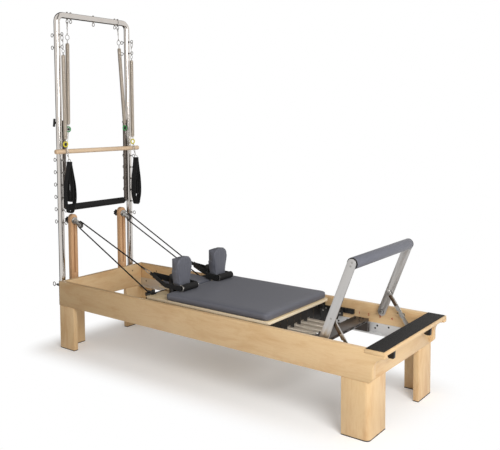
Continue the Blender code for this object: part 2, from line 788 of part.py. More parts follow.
def make_underframe(body, foot):
    """Steel channels under the board with wheel brackets, spring pegs and the cord locks."""
    top = CARRIAGE_BOARD_Z - GAP
    low = top - CHANNEL_DEPTH
    bar_low = HEAD_X + CARRIAGE_HEAD - 0.025
    bar_high = HEAD_X + CARRIAGE_HEAD - GAP
    bm = bmesh.new()
    block(bm, (bar_low, bar_high), (-CHANNEL_Y, CHANNEL_Y), (low + 0.020, CARRIAGE_TOP - 0.003))
    frame = to_object("carriage_frame", bm, "black_steel", parent=body)

    channels = bmesh.new()
    for side, _ in SIDES:
        block(channels, (bar_low, HEAD_X + foot - 0.020),
              (side * (CHANNEL_Y - CHANNEL_WIDTH / 2), side * (CHANNEL_Y + CHANNEL_WIDTH / 2)), (low, top))
    boolean(frame, "UNION", channels)

    across = bmesh.new()
    peg_x = HEAD_X + PEG_X
    block(across, (peg_x - 0.018, peg_x + 0.018), (-CHANNEL_Y, CHANNEL_Y), (top - 0.020, top - 0.002))
    boolean(frame, "UNION", across)

    small = bmesh.new()
    lugs = bmesh.new()
    for index in range(SPRING_COUNT):
        y = (index - (SPRING_COUNT - 1) / 2) * SPRING_PITCH_Y
        rod(small, (peg_x, y, top - 0.006), (peg_x, y, SPRING_Z - 0.009), PEG_RADIUS, 8)
    inner, outer = wheel_span()
    for x in wheel_places(foot):
        for side, _ in SIDES:
            plate = inner - 0.005
            block(small, (x - 0.026, x + 0.026), (side * plate, side * (plate - BRACKET_WALL)),
                  (WHEEL_Z - 0.014, top - 0.004))
            block(lugs, (x - 0.024, x + 0.024), (side * (plate - 0.001), side * (CHANNEL_Y + 0.004)),
                  (top - 0.016, top - 0.006))
    for side, _ in SIDES:
        block(small, (bar_low - 0.022, bar_low + 0.012), (side * (CHANNEL_Y - 0.026), side * (CHANNEL_Y + 0.002)),
              (CARRIAGE_TOP - 0.014, CARRIAGE_TOP + 0.013))
    boolean(frame, "UNION", lugs)
    boolean(frame, "UNION", small)

    axles = bmesh.new()
    for x in wheel_places(foot):
        for side, _ in SIDES:
            rod(axles, (x, side * (inner - 0.009), WHEEL_Z), (x, side * (outer + 0.001), WHEEL_Z), AXLE_RADIUS, 12)
    boolean(frame, "UNION", axles)


def make_wheels(body, foot):
    inner, outer = wheel_span()
    for place, x in zip(("head", "foot"), wheel_places(foot)):
        for side, label in SIDES:
            bm = bmesh.new()
            rod(bm, (x, side * inner, WHEEL_Z), (x, side * outer, WHEEL_Z), WHEEL_RADIUS, 20)
            wheel = to_object("wheel_" + place + "_" + label, bm, "wheel_urethane", (x, 0.0, WHEEL_Z), body)
            bore = bmesh.new()
            rod(bore, (x, side * (inner - 0.01), WHEEL_Z), (x, side * (outer + 0.01), WHEEL_Z),
                AXLE_RADIUS + RUNNING, 12)
            boolean(wheel, "DIFFERENCE", bore)


def hinge_place():
    """The headrest's hinge axis, just behind the main pad."""
    return Vector((HEAD_X + PAD_HEAD - HINGE_BACK, 0.0, CARRIAGE_TOP + HINGE_RISE))


def make_headrest(body):
    """A padded board on a hinge, propped up a little by a foot under its head end."""
    hinge = hinge_place()
    group = pivot("headrest_hinge", hinge - body.location)
    group.parent = body
    turn = Matrix.Translation(hinge) @ Matrix.Rotation(math.radians(HEADREST_TILT), 4, "Y")
    foot_edge = -0.006
    low = -HINGE_RISE + GAP * 2
    middle = foot_edge - HEADREST_LENGTH / 2

    bm = bmesh.new()
    outline = rounded_rectangle(HEADREST_LENGTH, HEADREST_WIDTH, 0.010, 2)
    extrude_outline(bm, [(middle + x, y) for x, y in outline], "Z", low, low + HEADREST_BOARD)
    bmesh.ops.transform(bm, matrix=turn, verts=bm.verts)
    board = to_object("headrest_board", bm, "plywood", hinge)
    move_under(board, group, body)
    knuckles = bmesh.new()
    pins = bmesh.new()
    for side, _ in SIDES:
        edge = HEADREST_WIDTH / 2
        block(knuckles, (foot_edge - 0.012, 0.0035), (side * (edge - 0.020), side * (edge - 0.004)), (-0.0037, 0.0037))
        rod(pins, (0.0, side * (edge - 0.016), 0.0), (0.0, side * (edge + 0.012), 0.0), HINGE_PIN, 12)
    bmesh.ops.transform(knuckles, matrix=turn, verts=knuckles.verts)
    bmesh.ops.transform(pins, matrix=turn, verts=pins.verts)
    boolean(board, "UNION", knuckles)
    boolean(board, "UNION", pins)
    prop = bmesh.new()
    prop_x = HEAD_X + CARRIAGE_HEAD + 0.020
    block(prop, (prop_x - HEADREST_PROP / 2, prop_x + HEADREST_PROP / 2), (-0.03, 0.03),
          (CARRIAGE_TOP + GAP, CARRIAGE_TOP + 0.014))
    boolean(board, "UNION", prop)

    bm = bmesh.new()
    length = HEADREST_LENGTH - 0.012
    outline = rounded_rectangle(length, HEADREST_WIDTH - 0.002, 0.022, 3)
    place = turn @ Matrix.Translation((middle - 0.006, 0.0, low + HEADREST_BOARD + GAP))
    cushion(bm, outline, HEADREST_PAD - 0.003, 0.008, 0.003, place)
    pad = to_object("headrest_pad", bm, "vinyl", hinge)
    move_under(pad, group, body)


def move_under(piece, group, body):
    """Hang a piece under an empty that is itself under another empty."""
    piece.parent = group
    piece.location = piece.location - group.location - body.location


def shoulder_outline():
    """A paddle seen from the foot end: a round top and sides that draw in to the neck."""
    half = SHOULDER_WIDTH / 2
    neck = SHOULDER_NECK / 2
    radius = half * 0.92
    low = -SHOULDER_HEIGHT / 2
    high = SHOULDER_HEIGHT / 2
    points = arc((0.0, high - radius), half, 0, 180, 12)
    points = [(across, high - radius + (up - high + radius) * radius / half) for across, up in points]
    points.extend([(-half * 0.99, high - radius * 1.5), (-neck, low + 0.020), (-neck + 0.010, low + 0.003)])
    points.extend([(-neck + 0.022, low), (neck - 0.022, low), (neck - 0.010, low + 0.003), (neck, low + 0.020)])
    points.append((half * 0.99, high - radius * 1.5))
    return points


def make_shoulder_rest(body, side, label):
    back = HEAD_X + SHOULDER_X - SHOULDER_THICK / 2
    post_x = HEAD_X + POST_X
    y = side * SHOULDER_Y
    bm = bmesh.new()
    half = POST_DEPTH / 2
    outline = [(post_x - half, CARRIAGE_TOP + GAP), (post_x - half, POST_TOP - half)]
    outline.extend(arc((post_x, POST_TOP - half), half, 180, 0, 8)[1:-1])
    outline.extend([(post_x + half, POST_TOP - half), (post_x + half, CARRIAGE_TOP + GAP)])
    extrude_outline(bm, outline, "Y", y - POST_WIDTH / 2, y + POST_WIDTH / 2)
    post = to_object("shoulder_post_" + label, bm, "black_steel", parent=body)
    arm = bmesh.new()
    block(arm, (post_x, back - GAP), (y - 0.010, y + 0.010), (SHOULDER_BOTTOM + 0.012, SHOULDER_BOTTOM + 0.040))
    block(arm, (post_x - 0.004, back - 0.004), (y - side * 0.010, y + side * 0.030),
          (CARRIAGE_TOP + GAP, CARRIAGE_TOP + 0.006))
    boolean(post, "UNION", arm)
    plate = bmesh.new()
    block(plate, (back - GAP - 0.004, back - GAP), (y - 0.026, y + 0.026),
          (SHOULDER_BOTTOM + 0.008, SHOULDER_BOTTOM + 0.070))
    boolean(post, "UNION", plate)

    bm = bmesh.new()
    middle = SHOULDER_BOTTOM + SHOULDER_HEIGHT / 2
    facing = Matrix(((0.0, 0.0, 1.0, back), (1.0, 0.0, 0.0, y), (0.0, 1.0, 0.0, middle), (0.0, 0.0, 0.0, 1.0)))
    cushion(bm, shoulder_outline(), SHOULDER_THICK - 0.004, 0.010, 0.004, facing)
    to_object("shoulder_pad_" + label, bm, "vinyl", parent=body)


def ribbon(bm, points, width, thick, normal=None):
    """A flat strap along a path: its width runs up and its thickness across the path."""
    path = [Vector(point) for point in points]
    loops = []
    for index, spot in enumerate(path):
        before = path[max(index - 1, 0)]
        after = path[min(index + 1, len(path) - 1)]
        along = (after - before).normalized()
        if normal is None:
            up = Vector((0.0, 0.0, 1.0))
        else:
            up = Vector(normal)
        out = up.cross(along).normalized()
        loop = []
        for rise, step in ((-1, -1), (1, -1), (1, 1), (-1, 1)):
            loop.append(bm.verts.new(spot + up * rise * width / 2 + out * step * thick / 2))
        loops.append(loop)
    for here, after in zip(loops, loops[1:]):
        for index in range(4):
            other = (index + 1) % 4
            bm.faces.new((here[index], here[other], after[other], after[index]))
    bm.faces.new(list(reversed(loops[0])))
    bm.faces.new(loops[-1])


def make_handle(body, side, label):
    """A loop handle hooked over the shoulder rest: clip, two straps and a round grip."""
    grip_z = CARRIAGE_TOP + PAD_THICK + 0.004 + GRIP_RADIUS + GAP
    middle = SHOULDER_Y
    half = GRIP_LENGTH / 2
    grip_x = HEAD_X + GRIP_X
    bm = bmesh.new()
    rod(bm, (grip_x, side * (middle - half), grip_z), (grip_x, side * (middle + half), grip_z), GRIP_RADIUS, 16)
    handle = to_object("handle_" + label, bm, "webbing", parent=body)

    start = Vector((HEAD_X + STRAP_START_X, side * CLIP_Y, STRAP_START_Z))
    pad_half = SHOULDER_WIDTH / 2
    for way in (1, -1):
        y = side * (middle + way * (pad_half + STRAP_THICK))
        turn_x = HEAD_X + SHOULDER_X - SHOULDER_THICK / 2 - (STRAP_TURN_OUTER if way > 0 else STRAP_TURN_INNER)
        inner_y = side * (middle + way * (POST_WIDTH / 2 + STRAP_POST_GAP))
        route = [start + Vector((0.0, side * way * STRAP_SPLIT, 0.0))]
        if way < 0:
            route.append(Vector((HEAD_X + POST_X - STRAP_BEHIND, inner_y, SHOULDER_BOTTOM + STRAP_POST_RISE)))
            route.append(Vector((HEAD_X + POST_X + STRAP_BESIDE, inner_y, SHOULDER_BOTTOM + STRAP_PASS_RISE)))
        route.append(Vector((turn_x, y, SHOULDER_BOTTOM + STRAP_TURN_RISE)))
        route.append(Vector((turn_x + STRAP_LEVEL, y, SHOULDER_BOTTOM + STRAP_LOW_RISE)))
        route.append(Vector((grip_x + 0.006, y, grip_z)))
        strap = bmesh.new()
        ribbon(strap, route, STRAP_WIDTH, STRAP_THICK)
        boolean(handle, "UNION", strap)
        stub = bmesh.new()
        edge = middle + way * half
        rod(stub, (grip_x, side * (edge - way * 0.004), grip_z), (grip_x, y + side * way * 0.0028, grip_z),
            GRIP_RADIUS * 0.62, 12)
        boolean(handle, "UNION", stub)
    clip = bmesh.new()
    clip_start = Vector((HEAD_X + CLIP_X, side * CLIP_Y, CLIP_Z))
    rod(clip, clip_start, start + (start - clip_start).normalized() * 0.006, 0.0045, 10)
    boolean(handle, "UNION", clip)


# Springs and the spring bar

def make_spring_bar():
    middle = HEAD_X + SPRING_BAR_X
    body = pivot("spring_bar_slide", (middle, 0.0, SPRING_BAR_Z))
    half = SPRING_BAR_WIDTH / 2
    reach = INNER_FACE - GAP - TRACK_WALL - TRACK_SHELF - 0.004
    head_edge = middle - half
    outline = [(head_edge, SPRING_BAR_Z), (head_edge, SPRING_BAR_Z - SPRING_BAR_FLANGE),
               (head_edge + SPRING_BAR_WALL, SPRING_BAR_Z - SPRING_BAR_FLANGE),
               (head_edge + SPRING_BAR_WALL, SPRING_BAR_Z - SPRING_BAR_WALL),
               (middle + half - SPRING_BAR_WALL, SPRING_BAR_Z - SPRING_BAR_WALL),
               (middle + half - SPRING_BAR_WALL, SPRING_BAR_Z - 0.016), (middle + half, SPRING_BAR_Z - 0.016),
               (middle + half, SPRING_BAR_Z)]
    bm = bmesh.new()
    extrude_outline(bm, outline, "Y", -reach, reach)
    bar = to_object("spring_bar", bm, "spring_bar_brown", parent=body)

    runner_top = TRACK_BOTTOM + TRACK_HEIGHT - 0.010
    back = INNER_FACE - GAP - TRACK_WALL - 0.001
    drops = bmesh.new()
    tongues = bmesh.new()
    runners = bmesh.new()
    for side, _ in SIDES:
        block(drops, (head_edge + 0.006, middle + half - 0.006), (side * (reach - 0.005), side * (reach + 0.001)),
              (SHELF_TOP + TRACK_LIP + 0.003, SPRING_BAR_Z - 0.001))
        block(tongues, (head_edge + 0.012, middle + half - 0.012), (side * (reach - 0.002), side * (back - 0.002)),
              (SHELF_TOP + TRACK_LIP + 0.006, runner_top - 0.002))
        block(runners, (head_edge + 0.010, middle + half - 0.010),
              (side * (back - TRACK_SHELF + 0.008), side * back), (SHELF_TOP + GAP, runner_top))
    boolean(bar, "UNION", drops)
    boolean(bar, "UNION", tongues)
    boolean(bar, "UNION", runners)

    tabs = bmesh.new()
    pegs = bmesh.new()
    for index in range(SPRING_COUNT):
        y = (index - (SPRING_COUNT - 1) / 2) * SPRING_PITCH_Y
        block(tabs, (middle - half - 0.013, middle - half + 0.006), (y - 0.005, y + 0.005),
              (SPRING_BAR_Z - SPRING_BAR_WALL, SPRING_BAR_Z))
        rod(pegs, (middle - half - 0.009, y, SPRING_BAR_Z - 0.001), (middle - half - 0.009, y, SPRING_Z - 0.012),
            PEG_RADIUS, 8)
    boolean(bar, "UNION", tabs)
    boolean(bar, "UNION", pegs)
    return body


def make_carriage_springs():
    start_x = HEAD_X + PEG_X
    end_x = HEAD_X + SPRING_BAR_X - SPRING_BAR_WIDTH / 2 - 0.009
    hook = hook_reach(PEG_RADIUS, SPRING_WIRE)
    for index in range(SPRING_COUNT):
        y = (index - (SPRING_COUNT - 1) / 2) * SPRING_PITCH_Y
        points = spring_points((start_x, y, SPRING_Z), (end_x, y, SPRING_Z - 0.003), (0.0, 1.0, 0.0),
                               (0.0, 1.0, 0.0), SPRING_COIL, SPRING_TURNS, (hook, hook), 0.026, 0.026)
        print("carriage spring", index + 1, "least gap mm", round(least_gap(points, SPRING_WIRE) * 1000, 2))
        wire_object("carriage_spring_" + str(index + 1), points, SPRING_WIRE, "spring_steel")


# Footbar

def make_footbar():
    """Two flat arms joined by a core tube, with a padded roller and two notched struts."""
    lean = math.radians(90.0 - FOOTBAR_LEAN)
    base = Vector((HEAD_X + FOOTBAR_X, 0.0, FOOTBAR_Z))
    up = Vector((math.cos(lean), 0.0, math.sin(lean)))
    out = Vector((math.sin(lean), 0.0, -math.cos(lean)))
    top = base + up * FOOTBAR_REACH
    body = pivot("footbar_hinge", base)

    core = bmesh.new()
    rod(core, top + Vector((0.0, -ARM_Y, 0.0)), top + Vector((0.0, ARM_Y, 0.0)), ROLLER_CORE, 16)
    bar = to_object("footbar", core, "arm_aluminium", base, body)
    half = ARM_WIDTH / 2
    for side, _ in SIDES:
        outline = []
        for angle in range(0, 181, 20):
            turn = math.radians(angle)
            spot = top + out * half * math.cos(turn) + up * half * math.sin(turn)
            outline.append((spot.x, spot.z))
        for angle in range(180, 361, 20):
            turn = math.radians(angle)
            spot = base + out * half * math.cos(turn) + up * half * math.sin(turn)
            outline.append((spot.x, spot.z))
        arm = bmesh.new()
        extrude_outline(arm, outline, "Y", side * (ARM_Y - ARM_THICK / 2), side * (ARM_Y + ARM_THICK / 2))
        boolean(bar, "UNION", arm)
    holes = bmesh.new()
    for side, _ in SIDES:
        rod(holes, base + Vector((0.0, side * (ARM_Y - 0.02), 0.0)), base + Vector((0.0, side * (ARM_Y + 0.02), 0.0)),
            PIVOT_RADIUS, 16)
    boolean(bar, "DIFFERENCE", holes)

    hinge = strut_point(0.0)
    pins = bmesh.new()
    heads = bmesh.new()
    strut_outer = STRUT_Y + STRUT_THICK / 2
    strut_inner = STRUT_Y - STRUT_THICK / 2
    for side, _ in SIDES:
        rod(pins, (hinge.x, side * (ARM_Y - 0.001), hinge.y), (hinge.x, side * (strut_outer + GAP), hinge.y), 0.008, 12)
        rod(heads, (hinge.x, side * (ARM_Y - 0.001), hinge.y), (hinge.x, side * (strut_inner - 0.003), hinge.y),
            STRUT_PIN - RUNNING, 12)
    boolean(bar, "UNION", pins)
    boolean(bar, "UNION", heads)
    caps = bmesh.new()
    for side, _ in SIDES:
        rod(caps, (hinge.x, side * (strut_inner - GAP), hinge.y), (hinge.x, side * (strut_inner - 0.0035), hinge.y),
            0.008, 12)
    boolean(bar, "UNION", caps)

    bm = bmesh.new()
    reach = ARM_Y - ARM_THICK / 2 - GAP
    rod(bm, top + Vector((0.0, -reach, 0.0)), top + Vector((0.0, reach, 0.0)), ROLLER_RADIUS, 24)
    pad = to_object("footbar_pad", bm, "vinyl", base, body)
    bore = bmesh.new()
    rod(bore, top + Vector((0.0, -ARM_Y, 0.0)), top + Vector((0.0, ARM_Y, 0.0)), bore_radius(ROLLER_CORE, 16), 16)
    boolean(pad, "DIFFERENCE", bore)

    for side, label in SIDES:
        make_strut(body, side, label)
    return body


def make_strut(body, side, label):
    """A flat bar with a sleeve at its upper end and three notches for the catch pin."""
    hinge = strut_point(0.0)
    place = Vector((hinge.x, 0.0, hinge.y))
    half = STRUT_WIDTH / 2
    corners = [(-0.008, -half), (STRUT_LENGTH - 0.006, -half), (STRUT_LENGTH, -half + 0.006),
               (STRUT_LENGTH, half - 0.006), (STRUT_LENGTH - 0.006, half), (-0.008, half), (-0.013, 0.005),
               (-0.013, -0.005)]
    outline = [tuple(strut_point(along, across)) for along, across in corners]
    bm = bmesh.new()
    extrude_outline(bm, outline, "Y", side * (STRUT_Y - STRUT_THICK / 2), side * (STRUT_Y + STRUT_THICK / 2))
    strut = to_object("strut_" + label, bm, "chrome", place, body)
    sleeve = bmesh.new()
    corners = [(SLEEVE_START, -half * 0.62), (SLEEVE_START + SLEEVE_LENGTH, -half * 0.62),
               (SLEEVE_START + SLEEVE_LENGTH, half * 0.62), (SLEEVE_START, half * 0.62)]
    outline = [tuple(strut_point(along, across)) for along, across in corners]
    extrude_outline(sleeve, outline, "Y", side * (STRUT_Y - SLEEVE_THICK + STRUT_THICK / 2 - 0.001),
                    side * (STRUT_Y + STRUT_THICK / 2 + 0.0015))
    boolean(strut, "UNION", sleeve)
    cuts = bmesh.new()
    rod(cuts, (place.x, side * (STRUT_Y - 0.02), place.z), (place.x, side * (STRUT_Y + 0.02), place.z),
        STRUT_PIN, 12)
    for step in (-1, 0, 1):
        spot = strut_point(CATCH_DISTANCE + step * NOTCH_PITCH, -half)
        rod(cuts, (spot.x, side * (STRUT_Y - 0.02), spot.y), (spot.x, side * (STRUT_Y + 0.02), spot.y),
            NOTCH_RADIUS, 12)
    boolean(strut, "DIFFERENCE", cuts)


# Tower

def make_tower():
    """One bent tube with the eyebolts fixed through it."""
    foot = SOCKET_TOP - SOCKET_HEIGHT + SOCKET_FLOOR + GAP
    corners = [(TUBE_X, -TOWER_HALF, foot), (TUBE_X, -TOWER_HALF, TOWER_TOP), (TUBE_X, TOWER_HALF, TOWER_TOP),
               (TUBE_X, TOWER_HALF, foot)]
    bm = bmesh.new()
    tube(bm, rounded_path(corners, TUBE_BEND), TUBE_RADIUS, 16)
    tower = to_object("tower_frame", bm, "chrome")

    heights = [EYE_LOW_FIRST + EYE_LOW_PITCH * index for index in range(EYE_LOW_COUNT)]
    heights += [EYE_HIGH_FIRST + EYE_HIGH_PITCH * index for index in range(EYE_HIGH_COUNT)]
    shanks = bmesh.new()
    eyes = bmesh.new()
    shank = EYE_REACH - EYE_RING
    for side, _ in SIDES:
        for z in heights:
            rod(shanks, (TUBE_X - shank, side * TOWER_HALF, z), (TUBE_X + shank, side * TOWER_HALF, z), 0.003, 6)
            for way in (-1, 1):
                centre = (TUBE_X + way * EYE_REACH, side * TOWER_HALF, z)
                ring(eyes, centre, (0.0, 1.0, 0.0), EYE_RING, EYE_WIRE, 8, 3)
    top_shank = TOP_EYE_DROP - EYE_RING
    for y in (-TOP_EYE_OUTER, -TOP_EYE_INNER, 0.0, TOP_EYE_INNER, TOP_EYE_OUTER):
        rod(shanks, (TUBE_X, y, TOWER_TOP - top_shank), (TUBE_X, y, TOWER_TOP + TUBE_RADIUS + 0.006), 0.003, 6)
        ring(eyes, (TUBE_X, y, TOWER_TOP - TOP_EYE_DROP), (0.0, 1.0, 0.0), EYE_RING, EYE_WIRE, 8, 3)
    boolean(tower, "UNION", shanks)
    boolean(tower, "UNION", eyes)

    bores = bmesh.new()
    for side, _ in SIDES:
        rod(bores, (TUBE_X - TUBE_RADIUS - 0.004, side * TOWER_HALF, knob_height()),
            (TUBE_X - TUBE_RADIUS + 0.007, side * TOWER_HALF, knob_height()), 0.0045, 12)
    rod(bores, (TUBE_X - TUBE_RADIUS - 0.006, -TOWER_HALF, PUSH_PIVOT_Z),
        (TUBE_X - TUBE_RADIUS + 0.012, -TOWER_HALF, PUSH_PIVOT_Z), T_PIN_RADIUS + RUNNING, 12)
    for side, _ in SIDES:
        rod(bores, (TUBE_X, side * (TOWER_HALF - TUBE_RADIUS - 0.004), PUSH_PIVOT_Z),
            (TUBE_X, side * (TOWER_HALF - 0.004), PUSH_PIVOT_Z), PUSH_BOLT + RUNNING, 12)
    boolean(tower, "DIFFERENCE", bores)


def knob_height():
    return SOCKET_TOP - 0.030


def make_socket(side, label):
    """The bracket on the head board that holds an upright, with a cleat behind the riser."""
    y = side * TOWER_HALF
    low = SOCKET_TOP - SOCKET_HEIGHT
    bm = bmesh.new()
    flank = SOCKET_HALF - 0.0015
    block(bm, (TUBE_X, HEAD_X - GAP), (y - flank, y + flank), (low + 0.001, SOCKET_TOP - 0.001))
    socket = to_object("tower_socket_" + label, bm, "black_steel")
    sleeve = bmesh.new()
    rod(sleeve, (TUBE_X, y, low), (TUBE_X, y, SOCKET_TOP), SOCKET_HALF, 16)
    boolean(socket, "UNION", sleeve)
    cleat = bmesh.new()
    inner = side * (RISER_Y - RISER_WIDTH / 2 - 0.012)
    block(cleat, (HEAD_X - RISER_FACE + GAP, HEAD_X - GAP - 0.0005), (inner, y - side * 0.003),
          (low + 0.030, SOCKET_TOP - 0.006))
    boolean(socket, "UNION", cleat)
    bore = bmesh.new()
    rod(bore, (TUBE_X, y, low + SOCKET_FLOOR), (TUBE_X, y, SOCKET_TOP + 0.02), bore_radius(TUBE_RADIUS, 16), 16)
    boolean(socket, "DIFFERENCE", bore)
    pin = bmesh.new()
    rod(pin, (TUBE_X - SOCKET_HALF - 0.01, y, knob_height()), (TUBE_X - 0.010, y, knob_height()), 0.0045, 12)
    boolean(socket, "DIFFERENCE", pin)

    back = TUBE_X - SOCKET_HALF
    bm = bmesh.new()
    rod(bm, (back - GAP, y, knob_height()), (back - KNOB_LENGTH * 0.45, y, knob_height()), KNOB_RADIUS, 12)
    knob = to_object("socket_pin_" + label, bm, "chrome", (back, y, knob_height()))
    shaft = bmesh.new()
    rod(shaft, (back - 0.010, y, knob_height()), (TUBE_X - TUBE_RADIUS + 0.005, y, knob_height()), 0.0042, 12)
    boolean(knob, "UNION", shaft)
    reach = KNOB_LENGTH - PULL_RING - PULL_WIRE
    neck = bmesh.new()
    rod(neck, (back - KNOB_LENGTH * 0.40, y, knob_height()), (back - reach + PULL_RING, y, knob_height()),
        PULL_WIRE, 8)
    boolean(knob, "UNION", neck)
    pull = bmesh.new()
    ring(pull, (back - reach, y, knob_height()), (0.0, 1.0, 0.0), PULL_RING, PULL_WIRE, 10, 4)
    boolean(knob, "UNION", pull)


def make_riser(side, label):
    """A slotted wooden post with a round top, bolted to the cleat behind the head board."""
    front = HEAD_X - RISER_FACE
    half = RISER_WIDTH / 2
    middle = side * RISER_Y
    outline = [(middle + half, RISER_BOTTOM)]
    outline.extend(arc((middle, RISER_TOP - half), half, 0, 180, 12))
    outline.append((middle - half, RISER_BOTTOM))
    bm = bmesh.new()
    extrude_outline(bm, outline, "X", front - RISER_THICK, front)
    riser = to_object("riser_" + label, bm, "maple")
    slot = bmesh.new()
    slot_half = SLOT_WIDTH / 2
    slot_top = CARRIER_Z + CARRIER_BOLT + 0.004
    hole = arc((middle, slot_top - slot_half), slot_half, 0, 180, 6)
    hole += arc((middle, SLOT_LOW + slot_half), slot_half, 180, 360, 6)
    extrude_outline(slot, hole, "X", front - RISER_THICK - 0.01, front + 0.01)
    boolean(riser, "DIFFERENCE", slot)


def make_carrier(side, label):
    """The pulley's clamp on a riser: disc, bolt and knob, with two cheeks that hold the sheave."""
    front = HEAD_X - RISER_FACE
    y = side * RISER_Y
    body = pivot("pulley_slide_" + label, (front, y, CARRIER_Z))
    disc_front = front + GAP + CARRIER_DISC_THICK
    bm = bmesh.new()
    rod(bm, (front + GAP, y, CARRIER_Z), (disc_front, y, CARRIER_Z), CARRIER_DISC, 20)
    carrier = to_object("pulley_carrier_" + label, bm, "black_steel", (front, y, CARRIER_Z), body)
    bolt = bmesh.new()
    back = front - RISER_THICK - GAP
    rod(bolt, (front + 0.004, y, CARRIER_Z), (back - 0.010, y, CARRIER_Z), CARRIER_BOLT, 12)
    boolean(carrier, "UNION", bolt)
    knob = bmesh.new()
    rod(knob, (back, y, CARRIER_Z), (back - RISER_KNOB_DEPTH, y, CARRIER_Z), RISER_KNOB_RADIUS, 10,
        RISER_KNOB_RADIUS * 0.86)
    boolean(carrier, "UNION", knob)

    sheave = Vector((HEAD_X + SHEAVE_X, y, SHEAVE_Z))
    root = Vector((disc_front - 0.002, y, CARRIER_Z - 0.004))
    neck = bmesh.new()
    gap_half = SHEAVE_WIDTH / 2 + 0.0006
    yoke_x = sheave.x - SHEAVE_RADIUS - 0.0045
    block(neck, (root.x, yoke_x), (y - gap_half - CHEEK_THICK, y + gap_half + CHEEK_THICK),
          (CARRIER_Z - 0.020, CARRIER_Z + 0.004))
    boolean(carrier, "UNION", neck)
    cheeks = bmesh.new()
    reach = CHEEK_WIDTH / 2
    outline = [(yoke_x - 0.012, CARRIER_Z + 0.003), (yoke_x - 0.012, CARRIER_Z - 0.019)]
    outline.extend(arc((sheave.x, sheave.z), reach, 240, 410, 9))
    for way in (-1, 1):
        low = y + way * gap_half
        extrude_outline(cheeks, outline, "Y", low, low + way * CHEEK_THICK)
    boolean(carrier, "UNION", cheeks)
    axle = bmesh.new()
    reach = gap_half + CHEEK_THICK * 0.5
    rod(axle, (sheave.x, y - reach, sheave.z), (sheave.x, y + reach, sheave.z), SHEAVE_AXLE, 12)
    boolean(carrier, "UNION", axle)

    make_sheave(sheave, label, body)
    return body


def make_sheave(centre, label, body):
    """A grooved wheel, spun from one profile that includes its bore."""
    half = SHEAVE_WIDTH / 2
    rim = SHEAVE_RADIUS
    floor = ROPE_GROOVE
    bore = SHEAVE_AXLE + RUNNING
    profile = [(bore, -half), (rim, -half), (rim, -half + 0.0008), (floor, -0.0024), (floor, 0.0024),
               (rim, half - 0.0008), (rim, half), (bore, half)]
    bm = bmesh.new()
    steps = 20
    loops = []
    for index in range(steps):
        angle = math.tau * index / steps
        way = Vector((math.cos(angle), 0.0, math.sin(angle)))
        loops.append([bm.verts.new(centre + way * radius + Vector((0.0, y, 0.0))) for radius, y in profile])
    for index in range(steps):
        here = loops[index]
        after = loops[(index + 1) % steps]
        for spot in range(len(profile)):
            other = (spot + 1) % len(profile)
            bm.faces.new((here[spot], here[other], after[other], after[spot]))
    to_object("sheave_" + label, bm, "wheel_urethane", centre, body)


def rope_route(side):
    """From the cord lock up to the sheave, round it and back down to the handle's clip."""
    radius = ROPE_GROOVE + ROPE_RADIUS + 0.0004
    y = side * RISER_Y
    centre = Vector((HEAD_X + SHEAVE_X, y, SHEAVE_Z))
    lock = Vector((HEAD_X + CARRIAGE_HEAD - 0.025 - 0.022 - 0.0022, side * (CHANNEL_Y - 0.012), CARRIAGE_TOP + 0.001))
    clip = Vector((HEAD_X + CLIP_X, side * CLIP_Y, CLIP_Z))
    clip -= Vector((STRAP_START_X - CLIP_X, 0.0, STRAP_START_Z - CLIP_Z)).normalized() * GAP

    def leave(target, way):
        """The angle at which a straight run to the target leaves the sheave."""
        flat = Vector((target.x - centre.x, target.z - centre.z))
        return math.atan2(flat.y, flat.x) + way * math.acos(radius / flat.length)

    first = leave(lock, -1)
    last = leave(clip, 1)
    if last > first:
        last -= math.tau
    points = []
    low = centre + Vector((math.cos(first), 0.0, math.sin(first))) * radius
    high = centre + Vector((math.cos(last), 0.0, math.sin(last))) * radius
    for index in range(12):
        points.append(lock.lerp(low, index / 12))
    for index in range(13):
        angle = first + (last - first) * index / 12
        points.append(centre + Vector((math.cos(angle), 0.0, math.sin(angle))) * radius)
    for index in range(1, 13):
        points.append(high.lerp(clip, index / 12))
    return points


def make_push_bar():
    """A U of tube hinged inside the uprights, with foam on its cross bar."""
    axis = Vector((TUBE_X, 0.0, PUSH_PIVOT_Z))
    body = pivot("push_bar_hinge", axis)
    low = PUSH_PIVOT_Z - PUSH_DROP
    corners = [(TUBE_X, -PUSH_ARM_Y, PUSH_PIVOT_Z + 0.015), (TUBE_X, -PUSH_ARM_Y, low), (TUBE_X, PUSH_ARM_Y, low),
               (TUBE_X, PUSH_ARM_Y, PUSH_PIVOT_Z + 0.015)]
    bm = bmesh.new()
    tube(bm, rounded_path(corners, PUSH_BEND), PUSH_TUBE, 12)
    bar = to_object("push_bar", bm, "chrome", axis, body)
    bolts = bmesh.new()
    for side, _ in SIDES:
        rod(bolts, (TUBE_X, side * (PUSH_ARM_Y - PUSH_TUBE - 0.004), PUSH_PIVOT_Z),
            (TUBE_X, side * (TOWER_HALF - 0.008), PUSH_PIVOT_Z), PUSH_BOLT, 12)
    boolean(bar, "UNION", bolts)
    reach = PUSH_ARM_Y - PUSH_BEND - 0.003
    bm = bmesh.new()
    rod(bm, (TUBE_X, -reach, low), (TUBE_X, reach, low), PUSH_FOAM, 20)
    foam = to_object("push_bar_foam", bm, "foam", axis, body)
    bore = bmesh.new()
    rod(bore, (TUBE_X, -reach - 0.02, low), (TUBE_X, reach + 0.02, low), bore_radius(PUSH_TUBE, 16), 16)
    boolean(foam, "DIFFERENCE", bore)


